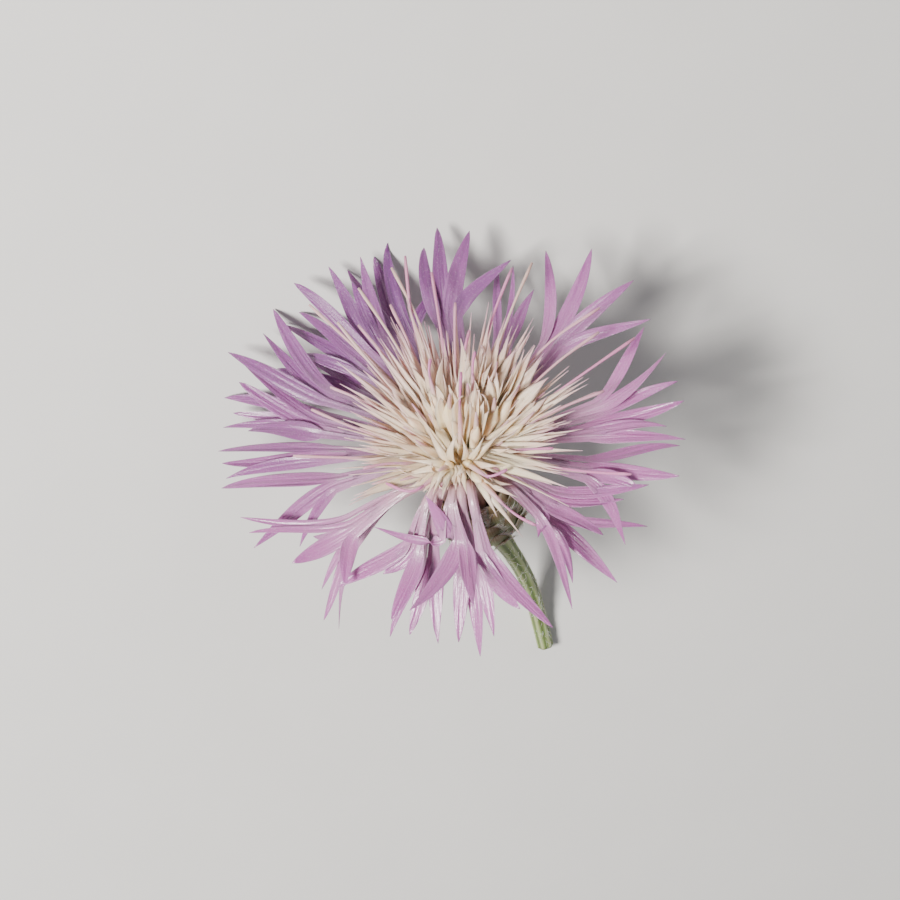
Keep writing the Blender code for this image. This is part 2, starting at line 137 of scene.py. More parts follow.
# Carries a closed section along many paths at once. With x = cos and y = sin of the angle round
# the section, a point is path + side * width * x + face * (thick * y + gutter * x squared
# + ridge * cos(2 pi x) * (1 - x squared)), where side is turned about the path by the twist.
def carry(path, across, width, thick, gutter=0.0, ridge=0.0, twist=0.0, sides=12):
    shape = path.shape[:2]
    side, face = frameAlong(path, across[:, None, :])[1:]
    angle = np.broadcast_to(np.radians(twist), shape)[..., None]
    side, face = side * np.cos(angle) + face * np.sin(angle), face * np.cos(angle) - side * np.sin(angle)
    turn = np.linspace(0.0, 2.0 * np.pi, sides, endpoint=False)
    x, y = np.cos(turn), np.sin(turn)
    width, thick, gutter, ridge = (np.broadcast_to(value, shape)[..., None]
                                   for value in (width, thick, gutter, ridge))
    out = thick * y + gutter * x ** 2 + ridge * np.cos(2.0 * np.pi * x) * (1.0 - x ** 2)
    points = path[:, :, None, :] + side[:, :, None, :] * (width * x)[..., None]
    points = points + face[:, :, None, :] * out[..., None]
    steps = np.linalg.norm(np.diff(path, axis=1), axis=-1)
    length = np.concatenate([np.zeros((shape[0], 1)), steps.cumsum(axis=1)], axis=1)
    uv = np.stack(np.broadcast_arrays(width * x, length[..., None]), axis=-1)
    return {"points": points, "poles": path[:, [0, -1]], "uv": uv, "length": length}


# A value given for each solid, or for each ring of each solid, repeated for all of its points.
def overPoints(value, count, rings, sides):
    value = np.asarray(value, float)
    value = np.broadcast_to(value if value.ndim == 2 else value.reshape(-1, 1), (count, rings))
    return np.concatenate([np.repeat(value, sides, axis=1), value[:, [0, -1]]], axis=1).ravel()


# Faces of carried sections, all facing out: four-cornered between neighbouring rings, and
# three-cornered between an end ring and its pole. Corners are ring * sides + side, then the poles.
def sectionFaces(count, rings, sides, base):
    ring, side = np.arange(rings - 1)[:, None] * sides, np.arange(sides)
    after = (side + 1) % sides
    quads = np.stack([ring + side, ring + after, ring + sides + after, ring + sides + side], axis=-1)
    pole, last = np.full(sides, rings * sides), (rings - 1) * sides
    fans = np.concatenate([np.stack([pole, after, side], axis=-1),
                           np.stack([pole + 1, last + side, last + after], axis=-1)])
    starts = base + np.arange(count)[:, None, None] * (rings * sides + 2)
    return (quads.reshape(1, -1, 4) + starts).reshape(-1, 4), (fans[None] + starts).reshape(-1, 3)


# A new object in the scene.
def addObject(name, data):
    thing = bpy.data.objects.new(name, data)
    bpy.context.scene.collection.objects.link(thing)
    return thing


# One mesh from batches of carried sections: the four-cornered faces, then the three-cornered
# ones. World metres are (head to world * mm + mouth) / 1000. Way, tone and seed go on as
# attributes, and each batch's own UV as the UV map. The tone carries painted shade on the far
# side of the head, drawn tones, and the styles' own pink. A seed only sets a pattern apart.
def makePiece(name, batches, material, nodes=()):
    points, uvs, quads, fans, base = [], [], [], [], 0
    labels = {"way": [], "tone": [], "seed": []}
    for batch in batches:
        grid, uv, length = batch["points"], batch["uv"], batch["length"]
        count, rings, sides = grid.shape[:3]
        points.append(np.concatenate([grid.reshape(count, -1, 3), batch["poles"]], axis=1).reshape(-1, 3))
        poleUv = np.stack([np.zeros((count, 2)), length[:, [0, -1]]], axis=-1)
        uvs.append(np.concatenate([uv.reshape(count, -1, 2), poleUv], axis=1).reshape(-1, 2))
        given = {"way": length / length[:, -1:], "tone": 0.0, "seed": 0.0, **batch}
        for label in labels:
            labels[label].append(overPoints(given[label], count, rings, sides))
        batchQuads, batchFans = sectionFaces(count, rings, sides, base)
        quads.append(batchQuads)
        fans.append(batchFans)
        base += count * (rings * sides + 2)
    points, uvs, quads, fans = (np.concatenate(rows) for rows in (points, uvs, quads, fans))
    world = (points @ headToWorld.T + np.array(lying["mouth"])) * 0.001
    loops = np.concatenate([quads.ravel(), fans.ravel()])
    sizes = np.concatenate([np.full(len(quads), 4), np.full(len(fans), 3)])
    mesh = bpy.data.meshes.new(name)
    mesh.vertices.add(len(world))
    mesh.vertices.foreach_set("co", world.astype(np.float32).ravel())
    mesh.loops.add(len(loops))
    mesh.loops.foreach_set("vertex_index", loops.astype(np.int32))
    mesh.polygons.add(len(sizes))
    mesh.polygons.foreach_set("loop_start", np.concatenate([[0], sizes.cumsum()[:-1]]).astype(np.int32))
    mesh.polygons.foreach_set("use_smooth", np.ones(len(sizes), bool))
    mesh.update(calc_edges=True)
    layer = mesh.uv_layers.new(name="alongPiece")
    layer.data.foreach_set("uv", uvs[loops].astype(np.float32).ravel())
    for label, values in labels.items():
        values = np.concatenate(values).astype(np.float32)
        mesh.attributes.new(label, "FLOAT", "POINT").data.foreach_set("value", values)
    mesh.validate()
    mesh.materials.append(material)
    piece = addObject(name, mesh)
    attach(piece, "root")
    if nodes:
        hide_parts(*nodes)
    print(name, "has", int((sizes - 2).sum()), "triangles")


# A material's nodes. A value that is another node's output is linked, any other is set.
class Nodes:
    def __init__(self, name):
        self.material = bpy.data.materials.new(name)
        self.material.use_nodes = True
        self.tree = self.material.node_tree
        self.shader = self.tree.nodes["Principled BSDF"]

    # A new node, with its settings and its sockets.
    def add(self, kind, settings=None, **sockets):
        node = self.tree.nodes.new(kind)
        for key, value in (settings or {}).items():
            setattr(node, key, value)
        self.plug(node, **sockets)
        return node

    # Sockets by name, with an underscore for each space.
    def plug(self, node, **sockets):
        for key, value in sockets.items():
            self.put(node.inputs[key.replace("_", " ")], value)

    # A link from an output, or a plain value.
    def put(self, socket, value):
        if isinstance(value, bpy.types.NodeSocket):
            self.tree.links.new(value, socket)
        else:
            socket.default_value = value

    # The operation on first and second, kept between 0 and 1 by clamp.
    def math(self, operation, first, second=0.5, clamp=False):
        node = self.add("ShaderNodeMath", {"operation": operation, "use_clamp": clamp})
        self.put(node.inputs[0], first)
        self.put(node.inputs[1], second)
        return node.outputs[0]

    # (value - level) * gain, kept between 0 and 1.
    def above(self, value, level, gain):
        return self.math("MULTIPLY", self.math("SUBTRACT", value, level), gain, True)

    # base + value * span
    def spread(self, value, span, base):
        return self.math("ADD", self.math("MULTIPLY", value, span), base)

    # First turned into the blend of first and second, by the factor.
    def mix(self, blend, factor, first, second):
        node = self.add("ShaderNodeMix", {"data_type": "RGBA", "blend_type": blend})
        for number, value in zip((0, 6, 7), (factor, first, second)):
            self.put(node.inputs[number], value)
        return node.outputs[2]

    # The colour at the factor, evenly between the stops about it.
    def ramp(self, factor, stops):
        node = self.add("ShaderNodeValToRGB", Fac=factor)
        elements = node.color_ramp.elements
        while len(elements) < len(stops):
            elements.new(1.0)
        for element, (place, color) in zip(elements, stops):
            element.position = place
            element.color = (*color, 1.0)
        return node.outputs[0]

    # The colour times a ramp of the value, by a share of depth.
    def tint(self, color, depth, value, stops):
        return self.mix("MULTIPLY", depth, color, self.ramp(value, stops))

    # The piece's own way, tone or seed.
    def value(self, label):
        return self.add("ShaderNodeAttribute", {"attribute_name": label}).outputs["Fac"]

    # The UV map: mm along the piece, and across it mm or a turn.
    def alongPiece(self):
        return self.add("ShaderNodeUVMap", {"uv_map": "alongPiece"}).outputs[0]

    # Noise of the vector times the scale.
    def noise(self, vector, scale, detail=2.0, roughness=0.5):
        return self.add("ShaderNodeTexNoise", Vector=vector, Scale=scale, Detail=detail,
                        Roughness=roughness).outputs["Fac"]

    # Noise in the piece's own space, with so many blots to a metre.
    def blots(self, scale, detail=2.0, roughness=0.5):
        return self.noise(self.add("ShaderNodeTexCoord").outputs["Object"], scale, detail, roughness)

    # Noise drawn out along the piece, so many streaks to a mm across and along, moved by its seed.
    def streaks(self, across, along, detail, roughness=0.5):
        seed = self.value("seed")
        start = self.add("ShaderNodeCombineXYZ", X=seed, Y=seed).outputs[0]
        place = self.add("ShaderNodeMapping", Vector=self.alongPiece(), Location=start,
                         Scale=(across, along, 1.0)).outputs[0]
        return self.noise(place, 1.0, detail, roughness)

    # The normal tilted by the slope of height * distance * strength.
    def bump(self, height, distance, strength=0.8, **under):
        return self.add("ShaderNodeBump", Height=height, Distance=distance, Strength=strength,
                        **under).outputs[0]


# What all petals have in common.
petalLook = {
    "linesAlong": 0.12,       # fine lines to a mm of length
    "foldsAlong": 0.07,
    "lineDetail": (3.0, 0.6), # detail and roughness of the noise
    "foldDetail": 1.0,
    "blotDetail": 2.0,
    "blotsAcross": 0.6,
    "blotsAlong": 0.2,
    # Sheen is painted where the crests of folds and of lines meet: pale streaks for satin highlights.
    "foldCrests": (0.54, 7.0),    # level and gain that pick out the crests of the folds
    "lineCrests": (0.46, 4.0),    # and of the lines
    # Painted sparkle: pale specks where the cells pass this level.
    "sparkleLevel": 0.55,
    "sheenFall": 3.4,          # how fast the pale band fades either side of its middle
    "roughSpan": 0.2,
    "glossRoughness": 0.22,
    "glowRadius": (1.0, 0.6, 0.8),
}


# A satin petal. Its colour is a ramp of way + uneven * (blots - 1/2), mixed by the tone towards
# itself times shadeAndPinkTint, which is painted shade on the far side of the head and, on the
# styles, their own pink; then multiplied by ramps of lines, folds and blots. Sheen is painted: the
# colour pales where crests of folds and of lines meet in the band about sheenAt, and painted
# sparkle pales it in grains where the cells pass their level.
# Roughness is the base plus roughSpan * (lines + 1 - folds).
def petalMaterial(name, look):
    nodes = Nodes(name)
    lines = nodes.streaks(look["linesAcross"], look["linesAlong"], *look["lineDetail"])
    folds = nodes.streaks(look["foldsAcross"], look["foldsAlong"], look["foldDetail"])
    blots = nodes.streaks(look["blotsAcross"], look["blotsAlong"], look["blotDetail"])
    cells = nodes.blots(look["cells"])
    way = nodes.value("way")
    shift = nodes.math("MULTIPLY", nodes.math("SUBTRACT", blots, 0.5), look["uneven"])
    color = nodes.ramp(nodes.math("ADD", way, shift), look["colors"])
    # Painted shade on the far side of the head, by the tone; on the styles the tint is their own pink
    # instead.
    far = nodes.mix("MULTIPLY", 1.0, color, (*look["shadeAndPinkTint"], 1.0))
    color = nodes.mix("MIX", nodes.math("MULTIPLY", nodes.value("tone"), 1.0, True), color, far)
    for kind, value in (("line", lines), ("fold", folds), ("blot", blots)):
        color = nodes.tint(color, look[kind + "Depth"], value, look[kind + "Colors"])
    # Painted sheen: pale streaks on the crests, in a band along the petal.
    crests = nodes.math("MULTIPLY", nodes.above(folds, *look["foldCrests"]),
                        nodes.above(lines, *look["lineCrests"]))
    off = nodes.math("ABSOLUTE", nodes.math("SUBTRACT", way, look["sheenAt"]))
    band = nodes.math("SUBTRACT", 1.0, nodes.math("MULTIPLY", off, look["sheenFall"]), True)
    paintedSheen = nodes.math("MULTIPLY", crests, nodes.math("MULTIPLY", band, look["paintedSheen"]))
    # Painted sparkle: pale specks where the cells pass their level.
    paintedSparkle = nodes.above(cells, look["sparkleLevel"], look["paintedSparkle"])
    color = nodes.mix("MIX", nodes.math("ADD", paintedSheen, paintedSparkle, True), color, (*look["sheenColor"], 1.0))
    rough = nodes.math("ADD", lines, nodes.math("SUBTRACT", 1.0, folds))
    foldBump = nodes.bump(folds, look["foldHeight"])
    lineBump = nodes.bump(lines, look["lineHeight"], Normal=foldBump)
    nodes.plug(nodes.shader, Base_Color=color, Coat_Normal=lineBump,
               Roughness=nodes.spread(rough, look["roughSpan"], look["roughness"]),
               Normal=nodes.bump(cells, look["cellHeight"], Normal=lineBump),
               Coat_Weight=look["gloss"], Coat_Roughness=look["glossRoughness"],
               Subsurface_Weight=look["glow"], Subsurface_Radius=look["glowRadius"],
               Subsurface_Scale=look["glowDepth"], Specular_IOR_Level=look["specular"])
    return nodes.material


divide = {
    "height": 5.0,          # mm above the face at the rim
    "slope": 12.0,          # degrees at the sides of the head
    "swing": 13.0,          # degrees steeper towards the table, flatter away from it
    "from": 3.9,            # mm, the radius that it starts from
    "nearRise": 2.2,        # mm higher on the side away from the table
    "clear": 0.85,
    "mouthShare": 0.78,     # disc florets are raised outside this share of that radius
    "softness": 0.4,
}

# Ray florets: each row is turn about the axis, lift above the face, reach to the first lobe and
# lift of the tips, then each lobe's turn from the floret's own, its reach and its width in mm,
# and its own lift where it stands apart from the others.
ray = {
    "rows": [
        (25, 20, 21.0, 18, [(18, 33.5, 1.7), (7, 36.0, 2.2), (-7, 35.5, 2.2), (-18, 33.5, 1.8)]),
        (49, 14, 20.0, 12, [(8, 31.0, 1.2), (4, 31.5, 1.0), (-4, 28.5, 1.6)]),
        (70, 24, 22.0, 20, [(5, 33.5, 1.9), (1, 36.0, 2.3), (-7, 35.0, 2.5), (-19, 31.0, 2.1)]),
        (88, 18, 22.0, 15, [(7, 36.0, 2.0), (0, 36.0, 2.1), (-4, 37.5, 1.8), (-12, 28.0, 1.6)]),
        (100, 24, 22.0, 22, [(8, 37.0, 1.8), (-1, 36.0, 2.0), (-4, 32.5, 1.6), (-9, 35.0, 2.0)]),
        (108, 14, 22.0, 12, [(11, 31.0, 1.6), (7, 36.0, 1.9), (2, 35.5, 1.8), (-2, 34.0, 1.7)]),
        (113, 7, 21.0, 6, [(10, 33.5, 1.8), (4, 32.0, 1.6), (-5, 30.0, 1.5)]),
        (126, 16, 22.5, 14, [(2, 39.0, 2.1), (-6, 36.5, 1.8), (-12, 38.0, 2.0)]),
        (131, 4, 23.0, 2, [(9, 37.5, 1.5), (5, 37.0, 1.5), (2, 39.5, 1.9)]),
        (138, 14, 21.0, 13, [(7, 31.5, 2.6), (-5, 35.5, 1.9), (-10, 37.0, 1.7)]),
        (145, 6, 20.0, 4, [(9, 34.5, 1.8), (5, 35.5, 1.9), (2, 36.5, 1.8)]),
        (155, 0, 18.5, -4, [(20, 25.5, 1.5), (15, 32.0, 2.4), (-3, 37.0, 2.4)]),
        (176, -12, 18.0, -22, [(20, 28.5, 1.8), (14, 29.5, 1.9), (5, 27.5, 1.6), (-15, 27.0, 1.7)]),
        (181, 4, 17.0, 2, [(20, 23.0, 2.2), (2, 27.0, 2.4), (-12, 31.5, 1.2), (-17, 32.5, 1.2)]),
        (214, 4, 12.5, -4, [(6, 23.0, 2.0), (-8, 18.0, 2.2), (-18, 23.5, 2.3)]),
        (220, -14, 12.5, -25, [(11, 23.5, 2.1), (-1, 23.5, 2.1), (-8, 25.0, 1.6)]),
        (241, 10, 11.0, 10, [(12, 22.5, 2.1), (-10, 23.5, 2.3), (-22, 11.4, 2.4, 45),
                             (-45, 15.8, 1.5, 18)]),
        (247, -14, 11.5, -25, [(6, 22.5, 2.2), (0, 25.0, 2.2), (-8, 23.0, 2.1)]),
        (260, 4, 12.5, -6, [(14, 26.0, 2.1), (7, 21.5, 2.1)]),
        (305, -8, 14.0, -12, [(15, 26.0, 1.6), (-6, 26.0, 2.0), (-16, 21.5, 1.6)]),
        (309, 6, 12.5, 2, [(18, 26.0, 1.9), (12, 23.0, 1.9), (-3, 22.5, 2.2), (-19, 15.0, 1.7),
                           (-28, 27.0, 1.3)]),
        (332, 4, 17.0, 2, [(7, 30.0, 1.9), (-2, 30.0, 2.2), (-6, 24.5, 1.8), (-26, 26.0, 1.7)]),
        (349, 10, 18.0, 8, [(5, 32.0, 1.9), (-1, 32.0, 2.1), (-7, 29.0, 2.0), (-12, 31.5, 1.8)]),
        (355, 14, 20.5, 14, [(14, 32.0, 1.6), (4, 32.5, 1.8)]),
    ],
    "rootRadius": 3.9,
    "rootDepth": -2.6,
    "rootTurn": 5.0,          # degrees to the first root, the rest follow evenly
    "crest": 7.0,             # where the tube heads for as it climbs
    "nearCrest": 4.0,         # and so much higher on the side away from the table
    "arch": (7.0, 6.0),       # and for as it arches outward, radius and height
    "rest": (0.4, 0.1),       # mm above the table that the middles of tubes and lobes keep
    "pathSteps": 40,
    # Painted shade of the far side: sin turn times the first, plus the second.
    "farPaintedShade": (0.95, -0.05),
    "tubeRadius": 0.58,
    "tubeGrowth": 0.3,        # share that it gains by the throat
    "tubeEnd": 0.93,          # share of the path where the tube ends, inside its strips
    "flatten": (0.45, 0.48),  # share of the path where it starts to flatten, and over how much
    "mouth": 0.32,            # half width of its flat end, as a share of the palm
    "tubeEdge": 0.03,
    "throat": 0.56,           # share of the tube's path where it opens into strips
    "stripWidth": 1.0,        # mm that each lobe adds to the palm
    "gathered": (0.28, 1.4),  # share of that at the throat, and power with which it spreads
    "overlap": 1.16,          # strips are broader than their spacing by this
    "cupping": 0.6,           # mm that the palm's margins stand up
    "lean": 22.0,             # degrees, the most that a strip at the margin leans in
    "leave": 0.26,            # share of a lobe that still heads the way of the tube
    "bow": 0.8,               # mm, neighbouring lobes bow up and down by this
    "lift": 0.5,              # mm, the most that a lobe's middle is drawn upwards
    "sway": 0.8,              # mm, sideways bow drawn for each lobe
    "twist": 32.0,            # degrees, the most that a lobe twists by its tip
    "folded": 0.25,           # a lobe that folds back more than this may cross the disc florets
    "thickness": 0.2,
    "fullness": 1.12,         # all lobe widths are multiplied by this
    "widthDraw": (0.94, 1.06),
    "widest": (0.3, 0.5),     # share of a lobe where it is widest, drawn
    "blunt": (0.55, 0.85),    # power of the fall to the tip, drawn: blunter where it is lower
    "tipWidth": 0.04,
    "toneDraw": 0.12,
    "gutter": 0.2,            # mm that a lobe's margins stand up
    "ridge": -0.07,           # mm, a fold beside the middle
    "tubeRings": 22,
    "stripRings": 10,
    "lobeRings": 20,
    "seed": 11,
    "look": {
        **petalLook,
        "colors": [(0.0, (0.56, 0.38, 0.26)), (0.22, (0.61, 0.41, 0.39)), (0.42, (0.56, 0.29, 0.44)),
                   (0.6, (0.50, 0.20, 0.42)), (0.85, (0.47, 0.16, 0.40)), (1.0, (0.38, 0.11, 0.33))],
        # Painted shade: the far side's colour is multiplied by this darker, bluer tint.
        "shadeAndPinkTint": (0.47, 0.46, 0.62),
        # Painted sheen on the crests about the palm, in this pale colour.
        "paintedSheen": 0.65, "sheenAt": 0.48, "sheenColor": (0.94, 0.76, 0.90),
        "linesAcross": 6.0, "lineDepth": 0.2, "lineHeight": 0.00006,
        "lineColors": [(0.3, (0.72, 0.58, 0.74)), (0.5, (0.97, 0.95, 0.97)), (0.7, (1.0, 1.0, 1.0))],
        "foldsAcross": 1.6, "foldDepth": 0.26, "foldHeight": 0.0005,
        "foldColors": [(0.35, (0.70, 0.56, 0.74)), (0.5, (0.96, 0.93, 0.96)), (0.65, (1.0, 1.0, 1.0))],
        "uneven": 0.16, "blotDepth": 0.5,
        "blotColors": [(0.3, (0.82, 0.74, 0.84)), (0.7, (1.0, 1.0, 1.0))],
        # The cells also paint pale specks of sparkle, by this share.
        "cells": 4200.0, "cellHeight": 0.00010, "paintedSparkle": 0.7,
        "roughness": 0.12, "specular": 0.6, "gloss": 0.5, "glossRoughness": 0.15,
        "glow": 0.35, "glowDepth": 0.0008,
    },
}


# Path of a ray floret's tube: a Bezier curve from its root, straight up over the rim, arching
# out to the place where the lobes part. It stays under the disc florets and on the table.
def rayTubes(share):
    rows = ray["rows"]
    turn, lift, split = (np.array([row[column] for row in rows], float) for column in range(3))
    rootTurn = ray["rootTurn"] + 360.0 * np.arange(len(rows)) / len(rows)
    rootTurn += 360.0 * np.round((turn - rootTurn) / 360.0)
    archRadius, archHeight = ray["arch"]
    raised = ray["nearCrest"] * np.maximum(-np.sin(np.radians(turn)), 0.0)
    controls = np.stack([around(ray["rootRadius"], rootTurn, ray["rootDepth"]),
                         around(ray["rootRadius"], rootTurn, ray["crest"] + raised),
                         around(archRadius, 0.5 * (rootTurn + turn), archHeight + 0.5 * raised),
                         polar(split, turn, lift)], axis=1)
    return layOnTable(keepBelow(bezier(controls, share)), ray["rest"][0])


# The tubes: a radius that grows evenly, then a flat end. With f the share flattened, half the
# width is radius * (1 - f squared) + mouth * palm * f squared, and half the depth is radius
# * (1 - f) to the power 0.8.
def rayTubeBatch(across):
    share = np.linspace(0.0, ray["tubeEnd"], ray["tubeRings"])
    start, span = ray["flatten"]
    flat = np.clip((share - start) / span, 0.0, 1.0)
    radius = ray["tubeRadius"] * (1.0 + ray["tubeGrowth"] * share)
    palm = ray["stripWidth"] * np.array([len(row[4]) for row in ray["rows"]])[:, None]
    width = radius * (1.0 - flat ** 2) + ray["mouth"] * palm * flat ** 2
    depth = radius * (1.0 - flat) ** 0.8 + ray["tubeEdge"]
    tubes = carry(rayTubes(share), across, width, depth, sides=16)
    tubes["way"] = np.broadcast_to(0.5 * share, width.shape)
    return tubes


# The lobes. A strip follows the tube's path at its own place across the palm, rank * spacing,
# where the spacing is the strip's width * (gathered + the rest * a power of the way opened). It
# runs on as a Bezier curve that leaves between straight ahead and the tip, nearer the tip the
# more it folds back. Half the width rises from the strip's as a quarter sine to the widest place,
# then falls to the tip as a power of a quarter cosine.
def rayLobeBatch(across, far, draws):
    share = np.linspace(0.0, 1.0, ray["pathSteps"] + 1)
    paths = rayTubes(share)
    opened = np.clip((share - ray["throat"]) / (1.0 - ray["throat"]), 0.0, 1.0)
    gathered, power = ray["gathered"]
    spacing = ray["stripWidth"] * (gathered + (1.0 - gathered) * opened ** power)
    first = int(np.searchsorted(share, ray["throat"])) - 2
    picks = np.linspace(first, len(share) - 1, ray["stripRings"]).round().astype(int)
    narrow = 0.5 * spacing[picks] * ray["overlap"]
    lobeShare = np.linspace(0.0, 1.0, ray["lobeRings"] + 1)[1:]
    strips, lobeAcross, widths, twists, tones, standing = [], [], [], [], [], []
    for number, (turn, _, _, tipLift, lobes) in enumerate(ray["rows"]):
        path, side = paths[number], across[number]
        flat, face = frameAlong(path, side)[1:]
        count = len(lobes)
        for order, (swing, reach, lobeWidth, *ownLift) in enumerate(lobes):
            rank = 0.5 * (count - 1) - order
            margin = rank / (0.5 * count)
            raised = ray["cupping"] * margin ** 2 * np.sin(np.pi * (0.25 + 0.5 * opened))
            strip = path + flat * (rank * spacing)[:, None] + face * raised[:, None]
            start = strip[-1]
            tip = polar(reach, turn + swing, ownLift[0] if ownLift else tipLift)
            straight, onward = unit(start - strip[-4]), unit(tip - start)
            folding = np.clip(0.5 - 0.5 * straight @ onward, 0.0, 1.0)
            heading = unit(straight * (1.0 - folding) + onward * folding)
            leave = start + heading * ray["leave"] * np.linalg.norm(tip - start)
            middle = 0.5 * (leave + tip) + draws.uniform(-1.0, 1.0) * ray["sway"] * side
            middle[2] += ray["bow"] * (-1.0) ** order + draws.uniform(0.0, ray["lift"])
            lobe = bezier(np.stack([start, leave, middle, tip])[None], lobeShare)[0]
            strips.append(np.concatenate([strip[picks], lobe]))
            lobeAcross.append(side)
            half = 0.5 * ray["fullness"] * lobeWidth * draws.uniform(*ray["widthDraw"])
            widest = draws.uniform(*ray["widest"]) * (1.0 - 0.8 * folding)
            blunt = draws.uniform(*ray["blunt"]) + 0.4 * folding
            rise = np.sin(0.5 * np.pi * np.minimum(lobeShare / widest, 1.0))
            fall = np.cos(0.5 * np.pi * np.clip((lobeShare - widest) / (1.0 - widest), 0.0, 1.0)) ** blunt
            broad = (narrow[-1] + (half - narrow[-1]) * rise) * fall
            widths.append(np.concatenate([narrow, np.maximum(broad, ray["tipWidth"])]))
            spin = draws.uniform(-1.0, 1.0) * ray["twist"] * (1.0 - folding)
            lean = -margin * ray["lean"]
            turned = lean + (spin - lean) * smoothStep(lobeShare)
            twists.append(np.concatenate([lean * opened[picks], turned]))
            # A lobe's tone is its row's painted shade plus a drawn tone.
            tones.append(far[number] + draws.uniform(-ray["toneDraw"], ray["toneDraw"]))
            standing.append(folding > ray["folded"])
    strips, widths, standing = np.array(strips), np.array(widths), np.array(standing)
    strips = layOnTable(np.where(standing[:, None, None], strips, keepBelow(strips)), ray["rest"][1])
    swell = widths / widths.max(axis=1, keepdims=True)
    blades = carry(strips, np.array(lobeAcross), widths, 0.5 * ray["thickness"] * np.sqrt(swell),
                   gutter=ray["gutter"] * swell, ridge=ray["ridge"] * swell,
                   twist=np.array(twists), sides=18)
    way = np.concatenate([0.5 * share[picks], 0.5 + 0.5 * lobeShare])
    blades["way"] = np.broadcast_to(way, widths.shape)
    blades["tone"], blades["seed"] = np.array(tones), np.arange(len(tones)) * 2.3 + 40.0
    return blades


# Ray florets: tubes and their lobes. The far side's painted shade is sin turn, scaled and shifted.
def makeRayFlorets():
    turns = np.array([row[0] for row in ray["rows"]], float)
    across = around(1.0, turns + 90.0, 0.0)
    scale, shift = ray["farPaintedShade"]
    far = np.clip(np.sin(np.radians(turns)) * scale + shift, 0.0, 1.0)
    tubes = rayTubeBatch(across)
    # The tubes' tone is the painted shade of the far side.
    tubes["tone"], tubes["seed"] = far, np.arange(len(turns)) * 1.7
    blades = rayLobeBatch(across, far, np.random.default_rng(ray["seed"]))
    makePiece("rayFlorets", [tubes, blades], petalMaterial("satinLilacPetal", ray["look"]),
              ["ray_florets"])


